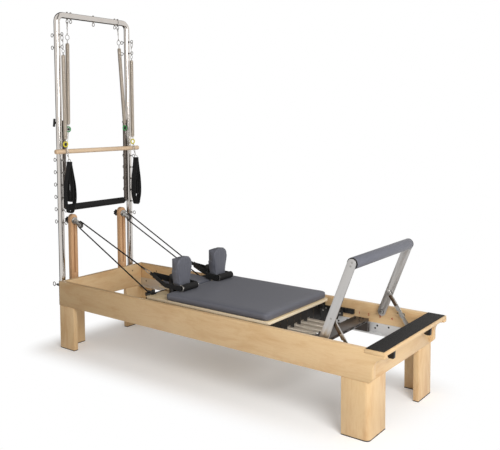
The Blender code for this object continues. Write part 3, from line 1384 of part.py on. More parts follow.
def make_t_pin():
    y = -TOWER_HALF
    face = TUBE_X - TUBE_RADIUS
    far_x = TUBE_X - T_PIN_REACH
    bm = bmesh.new()
    half = T_PIN_BAR / 2
    rod(bm, (far_x, y, PUSH_PIVOT_Z - half), (far_x, y, PUSH_PIVOT_Z + half), 0.0052, 12)
    pin = to_object("t_pin", bm, "black_steel", (face, y, PUSH_PIVOT_Z))
    stem = bmesh.new()
    rod(stem, (far_x, y, PUSH_PIVOT_Z), (face + 0.010, y, PUSH_PIVOT_Z), T_PIN_RADIUS, 12)
    boolean(pin, "UNION", stem)
    collar = bmesh.new()
    rod(collar, (far_x + 0.012, y, PUSH_PIVOT_Z), (face - 0.0012, y, PUSH_PIVOT_Z), 0.0075, 12)
    boolean(pin, "UNION", collar)


def make_roll_down():
    """A wooden dowel in front of the uprights with an eye, a link and a ring tag at each end."""
    x = TUBE_X + TUBE_RADIUS + DOWEL_RADIUS + GAP
    body = pivot("roll_down_slide", (x, 0.0, DOWEL_Z))
    half = DOWEL_LENGTH / 2
    bm = bmesh.new()
    rod(bm, (x, -half, DOWEL_Z), (x, half, DOWEL_Z), DOWEL_RADIUS, 20)
    dowel = to_object("roll_down_bar", bm, "dowel_wood", (x, 0.0, DOWEL_Z), body)
    for side, label in SIDES:
        tag = tag_place(side)
        foot = Vector((x, side * DOWEL_EYE_Y, DOWEL_Z + DOWEL_RADIUS - 0.003))
        up = (tag - foot).normalized()
        link = bmesh.new()
        rod(link, foot, tag - up * (TAG_RADIUS - TAG_WIRE), 0.003, 8)
        boolean(dowel, "UNION", link)
        loop = bmesh.new()
        ring(loop, tag, (1.0, 0.0, 0.0), TAG_RADIUS - TAG_WIRE, TAG_WIRE, 12, 4)
        boolean(dowel, "UNION", loop)

        top = Vector((TUBE_X, side * TOP_EYE_OUTER, TOWER_TOP - TOP_EYE_DROP - EYE_RING))
        bottom = tag + Vector((0.0, 0.0, TAG_RADIUS - TAG_WIRE))
        hooks = (hook_reach(EYE_WIRE, TOWER_WIRE), hook_reach(TAG_WIRE, TOWER_WIRE))
        points = spring_points(top, bottom, (0.0, 1.0, 0.0), (1.0, 0.0, 0.0), TOWER_COIL, TOWER_TURNS, hooks,
                               0.130, 0.032)
        print("roll-down spring", label, "least gap mm", round(least_gap(points, TOWER_WIRE) * 1000, 2))
        wire_object("roll_down_spring_" + label, points, TOWER_WIRE, "spring_steel")


def tag_place(side):
    x = TUBE_X + TUBE_RADIUS + DOWEL_RADIUS + GAP
    return Vector((x - 0.010, side * (DOWEL_EYE_Y - 0.026), DOWEL_Z + TAG_RISE))


def make_leg_loops(side, label):
    """A spring hooked on the upper eyebolt, then a ring tag, a link and a double loop of webbing."""
    height = EYE_HIGH_FIRST + EYE_HIGH_PITCH * (EYE_HIGH_COUNT - 1) - EYE_RING
    eye = Vector((TUBE_X + EYE_REACH, side * TOWER_HALF, height))
    swing = pivot("leg_spring_swing_" + label, eye)
    tag = Vector((HEAD_X + LEG_TAG_X, side * LEG_TAG_Y, LEG_TAG_Z))
    forward = FAR_LOOP_FORWARD if side > 0 else 0.0
    neck = Vector((HEAD_X + LEG_NECK_X + forward, side * LEG_NECK_Y, LEG_NECK_Z))
    turn = math.radians(FAR_LOOP_TURN if side > 0 else 0.0)
    across = Vector((-math.sin(turn), math.cos(turn), 0.0))
    web = Vector((math.cos(turn), math.sin(turn), 0.0))

    bm = bmesh.new()
    ribbon(bm, teardrop(neck, across, LOOP_DROP, LOOP_HALF, 12), LOOP_WEB, LOOP_THICK, web)
    loops = to_object("leg_loops_" + label, bm, "webbing", tag)
    loops.parent = swing
    loops.location = tag - eye
    inner = bmesh.new()
    ribbon(inner, teardrop(neck, across, LOOP_INNER_DROP, LOOP_INNER_HALF, 8), LOOP_WEB, LOOP_THICK, web)
    boolean(loops, "UNION", inner)
    knot = bmesh.new()
    extra = web * LOOP_WEB / 2
    ribbon(knot, [neck - extra, neck + extra], 0.030, 0.020)
    boolean(loops, "UNION", knot)
    link = bmesh.new()
    hang = (neck - tag).normalized()
    rod(link, neck + Vector((0.0, 0.0, 0.002)), tag + hang * (TAG_RADIUS - TAG_WIRE), 0.0035, 8)
    boolean(loops, "UNION", link)
    loop = bmesh.new()
    ring(loop, tag, (1.0, 0.0, 0.0), TAG_RADIUS - TAG_WIRE, TAG_WIRE, 12, 4)
    boolean(loops, "UNION", loop)

    bottom = tag + Vector((0.0, 0.0, TAG_RADIUS - TAG_WIRE))
    hooks = (hook_reach(EYE_WIRE, TOWER_WIRE), hook_reach(TAG_WIRE, TOWER_WIRE))
    aside = eye + Vector((0.001, side * -0.0052, -0.022))
    points = spring_points(eye, bottom, (0.0, side, 0.0), (1.0, 0.0, 0.0), TOWER_COIL, TOWER_TURNS, hooks,
                           0.088, 0.030, aside)
    print("leg spring", label, "least gap mm", round(least_gap(points, TOWER_WIRE) * 1000, 2))
    wire_object("leg_spring_" + label, points, TOWER_WIRE, "spring_steel", swing)


def teardrop(top, across, drop, half, steps):
    """A loop that leaves the neck, widens and closes round a curved bottom."""
    points = [top + across * 0.006]
    low = top - Vector((0.0, 0.0, drop))
    points.append(top + across * half * 0.55 - Vector((0.0, 0.0, drop * 0.22)))
    points.append(top + across * half * 0.88 - Vector((0.0, 0.0, drop * 0.50)))
    for index in range(steps + 1):
        angle = math.pi * index / steps
        centre = low + Vector((0.0, 0.0, half * 1.1))
        points.append(centre + across * half * math.cos(angle) - Vector((0.0, 0.0, half * 1.1 * math.sin(angle))))
    points.append(top - across * half * 0.88 - Vector((0.0, 0.0, drop * 0.50)))
    points.append(top - across * half * 0.55 - Vector((0.0, 0.0, drop * 0.22)))
    points.append(top - across * 0.006)
    return points


# Build everything

for side_way, side_name in SIDES:
    make_rail(side_way, side_name)
    make_track(side_way, side_name)
    make_leg("leg_head_" + side_name, HEAD_X, 1, side_way, HEAD_LEG_SIDE, HEAD_LEG_END, HEAD_LEG_ROUND)
    make_leg("leg_foot_" + side_name, HEAD_X + FRAME_LENGTH, -1, side_way, FOOT_LEG_SIDE, FOOT_LEG_END,
             FOOT_LEG_ROUND)
    make_socket(side_way, side_name)
    make_riser(side_way, side_name)
    make_carrier(side_way, side_name)
    wire_object("rope_" + side_name, rope_route(side_way), ROPE_RADIUS, "rope", resolution=2)
    make_leg_loops(side_way, side_name)
make_boards()
make_deck()
make_carriage()
make_spring_bar()
make_carriage_springs()
make_footbar()
make_tower()
make_push_bar()
make_t_pin()
make_roll_down()
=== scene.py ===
# Pilates reformer with a tower, dressed for rendering in Blender 4.5.
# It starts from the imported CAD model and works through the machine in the
# order in which it is put together, with one section for each piece or
# group of like pieces. Units are metres, +X is the foot end and +Z is up.

import math

import bpy
from mathutils import Matrix, Vector


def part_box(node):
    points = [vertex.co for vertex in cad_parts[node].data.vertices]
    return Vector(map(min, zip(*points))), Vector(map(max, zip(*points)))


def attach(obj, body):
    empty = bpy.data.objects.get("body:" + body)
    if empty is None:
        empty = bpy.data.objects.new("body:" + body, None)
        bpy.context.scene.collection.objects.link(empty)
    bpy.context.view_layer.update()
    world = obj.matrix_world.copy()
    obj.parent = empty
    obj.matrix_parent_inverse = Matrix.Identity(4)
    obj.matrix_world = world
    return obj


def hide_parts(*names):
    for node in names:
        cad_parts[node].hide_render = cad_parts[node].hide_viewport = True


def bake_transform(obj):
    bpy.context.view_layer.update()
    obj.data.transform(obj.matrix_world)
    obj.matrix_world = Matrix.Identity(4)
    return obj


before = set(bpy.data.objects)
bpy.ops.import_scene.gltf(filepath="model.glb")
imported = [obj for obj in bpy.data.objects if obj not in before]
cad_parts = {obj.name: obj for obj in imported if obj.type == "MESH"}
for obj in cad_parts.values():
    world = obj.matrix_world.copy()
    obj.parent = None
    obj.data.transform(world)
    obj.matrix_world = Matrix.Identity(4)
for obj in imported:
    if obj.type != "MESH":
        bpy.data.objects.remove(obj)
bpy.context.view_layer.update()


# Maple frame
# Two side rails, a head board, an end board, a platform board and four legs
# of two boards each. They are planed hard maple with broken edges, glued and
# bolted at the corners, under a satin clear lacquer.

SIDES = (("near", -1), ("far", 1))
X, Y, Z = Vector((1, 0, 0)), Vector((0, 1, 0)), Vector((0, 0, 1))
HEAD_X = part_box("head_board")[0][0]
RAIL_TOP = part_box("rail_near")[1][2]
INNER_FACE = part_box("track_far")[1][1] + 0.0003


def srgb(code):
    """An sRGB hex colour as the linear values that the shader takes."""
    parts = [int(code[index:index + 2], 16) / 255 for index in (1, 3, 5)]
    linear = [part / 12.92 if part <= 0.04045 else ((part + 0.055) / 1.055) ** 2.4 for part in parts]
    return (*linear, 1)


def add_node(tree, kind, settings=None, inputs=None):
    """One node with its settings, and a value or a link for each named or numbered input."""
    node = tree.nodes.new("ShaderNode" + kind)
    for name, value in (settings or {}).items():
        setattr(node, name, value)
    for name, value in (inputs or {}).items():
        if isinstance(value, bpy.types.NodeSocket):
            tree.links.new(value, node.inputs[name])
        else:
            node.inputs[name].default_value = value
    return node


def noise(tree, spot, scale, detail=2, **more):
    """Cloudy noise from 0 to 1, its scale in waves per metre."""
    return add_node(tree, "TexNoise", None, {"Vector": spot, "Scale": scale, "Detail": detail, **more}).outputs["Fac"]


def cells(tree, spot, scale, feature="F1"):
    """How far a place is from the middle of the nearest small cell."""
    return add_node(tree, "TexVoronoi", {"feature": feature}, {"Vector": spot, "Scale": scale}).outputs["Distance"]


def remap(tree, value, low=0, high=1, to_low=0, to_high=1, **settings):
    """A value between two limits is spread between two others."""
    return add_node(tree, "MapRange", settings, {"Value": value, "From Min": low, "From Max": high, "To Min": to_low,
        "To Max": to_high}).outputs[0]


def calc(tree, operation, *values, kind="Math"):
    """One step of arithmetic on numbers or links."""
    return add_node(tree, kind, {"operation": operation}, dict(enumerate(values))).outputs[0]


def mix(tree, share, first, second):
    """A colour between two, which are hex codes or links."""
    first, second = (srgb(tone) if isinstance(tone, str) else tone for tone in (first, second))
    return add_node(tree, "Mix", {"data_type": "RGBA"}, {0: share, 6: first, 7: second}).outputs[2]


def new_material(name, inputs):
    """A named material: its nodes, its shader with these inputs, and the object's own coordinates."""
    made = bpy.data.materials.new(name)
    made.use_nodes = True
    shader = made.node_tree.nodes["Principled BSDF"]
    for socket, value in inputs.items():
        shader.inputs[socket].default_value = value
    return made, made.node_tree, shader, add_node(made.node_tree, "TexCoord").outputs["Object"]


def finish_skin(tree, shader, colour, rough, relief, strength, depth):
    """The shader takes a colour, a roughness and a relief with its depth in metres."""
    tree.links.new(colour, shader.inputs["Base Color"])
    tree.links.new(rough, shader.inputs["Roughness"])
    bump = add_node(tree, "Bump", None, {"Strength": strength, "Distance": depth, "Height": relief})
    tree.links.new(bump.outputs[0], shader.inputs["Normal"])


def maple(name, way, light, dark, streak, seed):
    """Flat-sawn timber: growth lines stretched along the board, fine pores, a soft shimmer."""
    made, tree, shader, spot = new_material(name, {"Coat Weight": 0.12, "Coat Roughness": 0.35})
    grains = []
    for squeeze in (0.24, 0.05):
        stretch = [squeeze if axis == way else 1 for axis in "xyz"]
        grains.append(add_node(tree, "Mapping", None, {"Vector": spot, "Location": (seed, seed * 0.7, seed * 1.3),
            "Scale": stretch}).outputs[0])
    # the flame of the grain is 30 to 60 mm across the board and about 200 mm long
    flame = remap(tree, noise(tree, grains[0], 17, 6, Roughness=0.62, Distortion=0.6), 0.47, 0.74)
    # growth lines lie 5 mm apart
    lines = remap(tree, noise(tree, grains[1], 190, 3, Roughness=0.55), 0.46, 0.78)
    # pores are 0.3 mm wide on the real board and drawn 1.2 mm wide so that they show
    pores = noise(tree, grains[1], 620, Roughness=0.6)
    base = mix(tree, noise(tree, spot, 3.5), light, dark)
    both = calc(tree, "MULTIPLY", calc(tree, "MULTIPLY_ADD", lines, 0.3, flame), 0.5)
    lined = mix(tree, both, base, streak)
    pored = mix(tree, remap(tree, pores, 0.5, 0.8, 0, 0.3), lined, streak)
    finish_skin(tree, shader, pored, remap(tree, pores, to_low=0.34, to_high=0.5), pores, 0.25, 0.0003)
    return made


def pick(*pieces):
    """Only these pieces are selected, and the first is active."""
    if bpy.context.object is not None and bpy.context.object.mode != "OBJECT":
        set_mode("OBJECT")
    bpy.ops.object.select_all(action="DESELECT")
    for piece in pieces:
        piece.select_set(True)
    if pieces:
        bpy.context.view_layer.objects.active = pieces[0]


def set_mode(mode):
    bpy.ops.object.mode_set(mode=mode)


def edit_all(piece):
    """The piece is opened for editing with all of it selected."""
    pick(piece)
    set_mode("EDIT")
    bpy.ops.mesh.select_all(action="SELECT")


def modify(piece, kind, **settings):
    """A modifier is added with its settings and applied."""
    pick(piece)
    modifier = piece.modifiers.new(kind.title(), kind)
    for name, value in settings.items():
        setattr(modifier, name, value)
    bpy.ops.object.modifier_apply(modifier=modifier.name)


def copy_solid(node, name):
    """A copy of a CAD solid as one merged skin with flat faces, ready to cut, bevel and paint."""
    pick(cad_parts[node])
    bpy.ops.object.duplicate()
    piece = bpy.context.object
    piece.name = name
    piece.parent = None
    for key in list(piece.keys()):
        if key.startswith("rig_"):
            del piece[key]
    piece.data.materials.clear()
    edit_all(piece)
    bpy.ops.mesh.remove_doubles(threshold=0.00001)
    bpy.ops.mesh.dissolve_limited(angle_limit=math.radians(0.8))
    set_mode("OBJECT")
    return piece


def cut(piece, point, normal):
    """The side of the plane that the normal points to is cut off and closed."""
    edit_all(piece)
    bpy.ops.mesh.bisect(plane_co=point, plane_no=normal, use_fill=True, clear_outer=True, threshold=0.000005)
    set_mode("OBJECT")


def soften(piece, width, steps=2, angle=35):
    """Edges sharper than the angle are broken by a bevel."""
    modify(piece, "BEVEL", width=width, segments=steps, limit_method="ANGLE", angle_limit=math.radians(angle),
        harden_normals=False)


def dress(piece, material, body, slot, stands_in=False, angle=35):
    """A piece gets its material and shading and rides on its body if it has one, and may stand in for the node named by
    slot, which is then hidden.
    """
    pick(piece)
    bpy.ops.object.transform_apply(location=True, rotation=True, scale=True)
    piece.data.materials.clear()
    piece.data.materials.append(material)
    bpy.ops.object.shade_smooth_by_angle(angle=math.radians(angle))
    if body is not None:
        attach(piece, body)
    if stands_in:
        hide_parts(slot)
    return piece


def reskin(node, name, width, material, body, cuts=(), stands_in=True):
    """A CAD solid's copy is cut, its edges are broken, and it is dressed to stand in for the node."""
    piece = copy_solid(node, name)
    for point, normal in cuts:
        cut(piece, point, normal)
    soften(piece, width)
    return dress(piece, material, body, node, stands_in)


MAPLE = ("#E0C398", "#D6B584", "#BC8853")
maple_along = maple("Hard maple, rails", "x", *MAPLE, 0)
maple_across = maple("Hard maple, cross boards", "y", *MAPLE, 3)
maple_upright = maple("Hard maple, legs", "z", *MAPLE, 7)
EDGE_BREAK = 0.0022

for side, way in SIDES:
    reskin("rail_" + side, "rail_board_" + side, EDGE_BREAK, maple_along, "frame",
        [((0, way * (INNER_FACE + 0.0001), 0), -way * Y)], False)
for node in ("head_board", "platform"):
    reskin(node, node + "_wood", EDGE_BREAK, maple_across, "frame")


# Legs and rubber feet
# Each leg is two maple boards screwed and glued into an angle, with rounded
# tops. A thin dark sheet of rubber is glued under it.

def polymer(name, colour, light, grain, depth, rough):
    """A moulded or sprayed surface: one colour, slightly clouded, with a fine orange peel."""
    made, tree, shader, spot = new_material(name, {})
    cloud = noise(tree, spot, 14, 3)
    finish_skin(tree, shader, mix(tree, cloud, colour, light), remap(tree, cloud, 0, 1, rough - 0.08, rough + 0.08),
        noise(tree, spot, 1 / grain), 0.35, depth)
    return made


foot_rubber = polymer("Black rubber sheet", "#1D1A18", "#2A2623", 0.0015, 0.0001, 0.75)
GLIDE = 0.004
for end in ("head", "foot"):
    for side, way in SIDES:
        node = "leg_" + end + "_" + side
        reskin(node, node + "_rubber", 0.0008, foot_rubber, "frame", [((0, 0, GLIDE - 0.0001), Z)], False)
        reskin(node, node + "_wood", EDGE_BREAK, maple_upright, "frame", [((0, 0, GLIDE), -Z)])


# End board and its wedge brackets
# The end board closes the foot end under the platform. Two black plastic
# wedges are screwed to its outer face and carry the platform's lip.

def joined(name, pieces):
    """Several parts of one piece become one mesh."""
    pick(*pieces)
    if len(pieces) > 1:
        bpy.ops.object.join()
    piece = bpy.context.object
    piece.name = name
    return piece


def add_plate(name, outline, axis, low, high, edge=0):
    """A disc with as many corners as the outline, moved to it, extruded and broken along its edges."""
    pick()
    bpy.ops.mesh.primitive_circle_add(vertices=len(outline), radius=0.1, fill_type="NGON")
    piece = bpy.context.object
    piece.name = name
    for vertex, (first, second) in zip(piece.data.vertices, outline):
        vertex.co = {"X": (low, first, second), "Y": (first, low, second), "Z": (first, second, low)}[axis]
    reach = (high - low) * {"X": X, "Y": Y, "Z": Z}[axis]
    edit_all(piece)
    bpy.ops.mesh.extrude_region_move(TRANSFORM_OT_translate={"value": reach})
    bpy.ops.mesh.select_all(action="SELECT")
    bpy.ops.mesh.normals_make_consistent(inside=False)
    set_mode("OBJECT")
    if edge > 0:
        soften(piece, edge, 2, 50)
    return piece


black_coat = polymer("Black powder coat on steel", "#0E0D0D", "#191818", 0.0016, 0.0002, 0.42)
black_nylon = polymer("Moulded black nylon", "#0D0D0D", "#181818", 0.0022, 0.0001, 0.5)
end_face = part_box("rail_near")[1][0] - 0.075
reskin("end_board", "end_board_wood", EDGE_BREAK, maple_across, "frame", [((end_face + 0.0001, 0, 0), X)], False)
wedge_side = [(0.0004, 0.3972), (0.051, 0.3972), (0.055, 0.394), (0.052, 0.35), (0.049, 0.3462), (0.029, 0.3455),
    (0.0004, 0.364)]
outline = [(end_face + across, height) for across, height in wedge_side]
wedges = [add_plate("wedge", outline, "Y", way * 0.205 - 0.009, way * 0.205 + 0.009, 0.0015) for side, way in SIDES]
dress(joined("platform_wedges", wedges), black_nylon, "frame", "end_board", True)


# Grip sheet on the platform
# An abrasive black sheet stuck to the platform, so that a foot doesn't slip.
# Its grit is coarse enough to glitter a little under the studio light.

made, tree, shader, spot = new_material("Black abrasive grip sheet", {"Specular IOR Level": 0.35})
grit = cells(tree, spot, 650)
finish_skin(tree, shader, mix(tree, remap(tree, grit, 0, 0.7), "#373533", "#191817"),
    remap(tree, grit, to_low=0.6, to_high=0.95), grit, 0.7, 0.0006)
reskin("platform_grip", "platform_grip_sheet", 0.0008, made, "frame")


# Tracks
# Two lengths of extruded aluminium angle screwed to the inner faces of the
# rails. The carriage wheels roll on the shelf, and holes in the wall take
# the pins of the spring bar.

def metal(name, colour, worn, rough, stretch=(1, 1, 1), scale=120):
    """A metal face whose fine scratches run along one way and vary its polish."""
    made, tree, shader, spot = new_material(name, {"Metallic": 1})
    along = add_node(tree, "Mapping", None, {"Vector": spot, "Scale": stretch}).outputs[0]
    marks = noise(tree, along, scale, 4, Roughness=0.65)
    finish_skin(tree, shader, mix(tree, marks, colour, worn), remap(tree, marks, to_low=rough * 0.75,
        to_high=rough * 1.3), marks, 0.12, 0.0001)
    return made


def add_rod(name, start, end, radius, sides=24, rim=0.12):
    """A turned rod between two points, with its rims broken."""
    start, end = Vector(start), Vector(end)
    way = end - start
    pick()
    bpy.ops.mesh.primitive_cone_add(vertices=sides, radius1=radius, radius2=radius, depth=way.length,
        location=(start + end) / 2, rotation=way.to_track_quat("Z", "Y").to_euler())
    piece = bpy.context.object
    piece.name = name
    edit_all(piece)
    bpy.ops.mesh.select_all(action="DESELECT")
    set_mode("OBJECT")
    for face in piece.data.polygons:
        face.select = len(face.vertices) > 4
    set_mode("EDIT")
    bpy.ops.mesh.bevel(offset=min(radius * rim, way.length * 0.3), segments=2, affect="EDGES")
    set_mode("OBJECT")
    bpy.ops.object.transform_apply(location=True, rotation=True, scale=True)
    return piece


def add_screw(name, spot, way, radius, height, socket=0.5, sides=20):
    """A button head with a sunk drive: a rod whose outer face is inset and pushed in."""
    spot, way = Vector(spot), Vector(way).normalized()
    piece = add_rod(name, spot, spot + way * height, radius, sides, 0.35)
    top = max(face.center.dot(way) for face in piece.data.polygons)
    for face in piece.data.polygons:
        face.select = face.center.dot(way) > top - 0.00005 and len(face.vertices) > 4
    set_mode("EDIT")
    bpy.ops.mesh.select_mode(type="FACE")
    bpy.ops.mesh.inset(thickness=radius * (1 - socket) * 0.7, depth=0)
    bpy.ops.mesh.inset(thickness=radius * 0.04, depth=-height * 0.5)
    set_mode("OBJECT")
    return piece


extruded = metal("Extruded aluminium, mill finish", "#E6E6E6", "#D2D2D2", 0.5, (0.05, 1, 1), 260)
# painted shade: the dark discs and plates for holes and slots stand for the shade inside them, and the frame screws are
# real black oxide
hole_shade_and_black_oxide = polymer("Shadowed hole, black oxide", "#0B0B0C", "#121213", 0.002, 0.0001, 0.8)
bright_zinc = metal("Zinc-plated steel", "#A5A19C", "#86827D", 0.24)
TRACK_HOLES = ((0.08, 0.3), (1.598, 0.29), (1.652, 0.306), (1.7, 0.29), (1.752, 0.306), (1.823, 0.29), (1.835, 0.305),
    (1.902, 0.306), (2.03, 0.298))
for side, way in SIDES:
    reskin("track_" + side, "track_angle_" + side, 0.0005, extruded, "frame")
    # each hole is a dark sunk disc, painted shade in the hole
    holes = [add_screw("hole", (HEAD_X + x, way * (INNER_FACE - 0.0043), z), -way * Y, 0.0052, 0.0006, 0.9) for x,
        z in TRACK_HOLES]
    dress(joined("track_hole_shade_" + side, holes), hole_shade_and_black_oxide, "frame", "track_" + side)


# Fixed pins, catch plates and stops on the rails
# Steel pins through each rail carry the footbar arms and catch the notched
# struts. A black toothed bracket sits above the track as the carriage's
# travel stop, and black screws hold the tracks and the head end.

satin_steel = metal("Satin stainless steel", "#B9B7B3", "#9E9C98", 0.28)
for side, way in SIDES:
    fittings = reskin("rail_" + side, "rail_fittings_" + side, 0.0006, satin_steel, "frame",
        [((0, way * (INNER_FACE - 0.0003), 0), way * Y)])
    fittings.data.materials.append(black_coat)
    for face in fittings.data.polygons:
        if 1.59 < face.center.x - HEAD_X < 1.71:
            face.material_index = 1
    y = way * (INNER_FACE - 0.0145)
    teeth = [add_rod("tooth", (x, y, RAIL_TOP - 0.045), (x, y, RAIL_TOP - 0.071), 0.0035,
        8) for x in [HEAD_X + 1.606 + index * 0.02 for index in range(5)]]
    dress(joined("stop_teeth_" + side, teeth), black_coat, "frame", "rail_" + side)
    screws = [add_screw("screw", (HEAD_X + x, way * INNER_FACE, z), -way * Y, 0.004, 0.0015) for x,
        z in ((0.175, 0.38), (1.95, 0.392), (2.06, 0.372))]
    screws += [add_screw("screw", (HEAD_X + 0.03, way * y, z), X, 0.0042, 0.0016) for y,
        z in ((0.236, 0.38), (0.233, 0.33))]
    dress(joined("frame_screws_" + side, screws), hole_shade_and_black_oxide, "frame", "rail_" + side)


# Red position numbers
# Four printed numbers on the inner face of the far rail, over the holes of
# the spring bar. They are thin red vinyl.

made, tree, shader, spot = new_material("Red cut vinyl", {"Roughness": 0.45})
tree.links.new(mix(tree, noise(tree, spot, 300), "#B5271D", "#A31E18"), shader.inputs["Base Color"])
for digit, x in (("1", 1.725), ("2", 1.781), ("3", 1.849), ("4", 1.918)):
    pick()
    bpy.ops.object.text_add(location=(HEAD_X + x, INNER_FACE - 0.0002, 0.35), rotation=(math.pi / 2, 0, 0))
    number = bpy.context.object
    number.name = "number_" + digit
    number.data.body = digit
    number.data.size = 0.0175
    number.data.align_x = "CENTER"
    number.data.extrude = 0.00015
    number.data.offset = 0.0006
    bpy.ops.object.convert(target="MESH")
    dress(number, made, "frame", "rail_far")


# Tower
# One tube of chromed steel, bent at its two top corners and set into two
# sockets behind the head board. Zinc eyebolts with nuts pass through the
# uprights and the top bar, for springs at any height.

chrome = metal("Bright chromed steel tube", "#DAD5D0", "#C6C0BA", 0.13, (1, 1, 0.08), 45)
TUBE_X = HEAD_X - 0.046
TOWER_HALF = 0.2885
TOWER_TOP = 2.06
TUBE_RADIUS = 0.019


def rounded_path(corners, bend, steps=8):
    """A path through the corners with an arc of the given radius at each inner one."""
    path = [Vector(corners[0])]
    for before, spot, after in zip(corners, corners[1:], corners[2:]):
        spot = Vector(spot)
        way_in = (Vector(before) - spot).normalized()
        way_out = (Vector(after) - spot).normalized()
        half = way_in.angle(way_out) / 2
        centre = spot + (way_in + way_out).normalized() * (bend / math.sin(half))
        first = spot + way_in * (bend / math.tan(half)) - centre
        last = spot + way_out * (bend / math.tan(half)) - centre
        for index in range(steps + 1):
            path.append(centre + first.slerp(last, index / steps).normalized() * bend)
    path.append(Vector(corners[-1]))
    return path


def add_wire(name, points, radius, closed=False, roundness=3):
    """A wire, tube or cord along a path: a curve with a round bevel, made a mesh."""
    curve = bpy.data.curves.new(name, "CURVE")
    curve.dimensions = "3D"
    curve.bevel_depth = radius
    curve.bevel_resolution = roundness
    curve.use_fill_caps = not closed
    line = curve.splines.new("POLY")
    line.points.add(len(points) - 1)
    for spot, target in zip(points, line.points):
        target.co = (*spot, 1)
    line.use_cyclic_u = closed
    line.use_smooth = True
    piece = bpy.data.objects.new(name, curve)
    bpy.context.scene.collection.objects.link(piece)
    pick(piece)
    bpy.ops.object.convert(target="MESH")
    return bpy.context.object


def add_ring(name, centre, normal, radius, wire, around=36, across=10):
    pick()
    turn = Vector(normal).to_track_quat("Z", "Y").to_euler()
    bpy.ops.mesh.primitive_torus_add(major_radius=radius, minor_radius=wire, major_segments=around,
        minor_segments=across, location=centre, rotation=turn)
    piece = bpy.context.object
    piece.name = name
    bpy.ops.object.transform_apply(location=True, rotation=True, scale=True)
    return piece


def add_eyebolt(name, eye, way, shank):
    """A ring of wire on a shank, with a washer and a nut where it meets the tube."""
    eye, way = Vector(eye), Vector(way)
    return joined(name, [add_ring("ring", eye, Y, 0.0105, 0.0022, 28)] + [add_rod(part, eye - way * start,
        eye - way * end, radius, sides) for part, start, end, radius, sides in (("shank", 0.0105, shank, 0.0027, 12),
        ("washer", shank - 0.0012, shank, 0.0062, 18), ("nut", shank - 0.0052, shank - 0.0012, 0.0052, 6))])


corners = [(TUBE_X, -TOWER_HALF, 0.262), (TUBE_X, -TOWER_HALF, TOWER_TOP), (TUBE_X, TOWER_HALF, TOWER_TOP),
    (TUBE_X, TOWER_HALF, 0.262)]
uprights = add_wire("tower_tube", rounded_path(corners, 0.042, 12), TUBE_RADIUS, roundness=6)
dress(uprights, chrome, "frame", "tower_frame", True)
REACH = 0.048
TOP_REACH = 0.034
eyes = []
for z in [0.773 + 0.078 * index for index in range(6)] + [1.86, 1.936]:
    for side, way in SIDES:
        for front in (-1, 1):
            eyes.append(add_eyebolt("eyebolt", (TUBE_X + front * REACH, way * TOWER_HALF, z), front * X,
                REACH - TUBE_RADIUS + 0.0006))
for y in (-0.209, -0.182, 0, 0.182, 0.209):
    eyes.append(add_eyebolt("eyebolt", (TUBE_X, y, TOWER_TOP - TOP_REACH), -Z, TOP_REACH - TUBE_RADIUS + 0.0006))
    eyes.append(add_rod("nut", (TUBE_X, y, TOWER_TOP + TUBE_RADIUS - 0.0008), (TUBE_X, y, TOWER_TOP + 0.0245), 0.0058,
        6))
dress(joined("tower_eyebolts", eyes), bright_zinc, "frame", "tower_frame")
seam = add_rod("tower_tube_seam", (TUBE_X, 0.196, TOWER_TOP), (TUBE_X, 0.1995, TOWER_TOP), TUBE_RADIUS + 0.0009, 32)
dress(seam, black_coat, "frame", "tower_frame")


# Tower sockets and their pull pins
# Coated steel sockets behind the head board hold the uprights. A sprung pin
# with a zinc pull ring locks each one, and slides out along the machine.

for side, way in SIDES:
    reskin("tower_socket_" + side, "socket_" + side, 0.0008, black_coat, "frame")
    spot = Vector((TUBE_X - 0.0225, way * TOWER_HALF, 0.37))
    parts = [add_rod(part, spot - start * X, spot - end * X, radius, sides, rim) for part, start, end, radius, sides,
        rim in (("barrel", 0.0006, 0.027, 0.0078, 18, 0.12), ("cap", 0.0262, 0.0335, 0.0062, 18, 0.3),
        ("shaft", -0.008, 0.005, 0.0042, 14, 0.12), ("neck", 0.03, 0.05, 0.0022, 10, 0.12))]
    parts.append(add_ring("ring", spot - 0.06 * X, Y, 0.012, 0.0023, 32))
    dress(joined("pull_pin_" + side, parts), bright_zinc, "socket_pin_" + side, "socket_pin_" + side, True)


# Risers
# Two slotted maple posts behind the head board that carry the pulleys. They
# are a redder, darker cut than the frame, with round tops and oiled edges.

riser_maple = maple("Hard maple, risers", "z", "#DDB48A", "#CE9F70", "#AD7A4C", 11)
for side, way in SIDES:
    reskin("riser_" + side, "riser_post_" + side, 0.0016, riser_maple, "frame")


# Pulley carriers
# A steel disc clamps to each riser by a bolt through its slot, with a lobed
# nylon knob behind it. Two cheeks in front hold the pulley on its axle.

def add_turned(name, profile, centre, axis, steps=40):
    """A closed profile of (radius, place along the axis), spun round the axis."""
    centre, axis = Vector(centre), Vector(axis).normalized()
    side_way = axis.orthogonal().normalized()
    pick()
    bpy.ops.mesh.primitive_circle_add(vertices=len(profile), radius=0.1, fill_type="NOTHING")
    piece = bpy.context.object
    piece.name = name
    for vertex, (radius, along) in zip(piece.data.vertices, profile):
        vertex.co = centre + side_way * radius + axis * along
    edit_all(piece)
    bpy.ops.mesh.spin(steps=steps, angle=math.tau, center=centre, axis=axis)
    bpy.ops.mesh.select_all(action="SELECT")
    bpy.ops.mesh.remove_doubles(threshold=0.000005)
    bpy.ops.mesh.dissolve_degenerate(threshold=0.000005)
    bpy.ops.mesh.select_all(action="SELECT")
    bpy.ops.mesh.normals_make_consistent(inside=False)
    set_mode("OBJECT")
    return piece


def mirrored(half):
    """A profile from its lower half."""
    return half + [(radius, -along) for radius, along in reversed(half) if along]


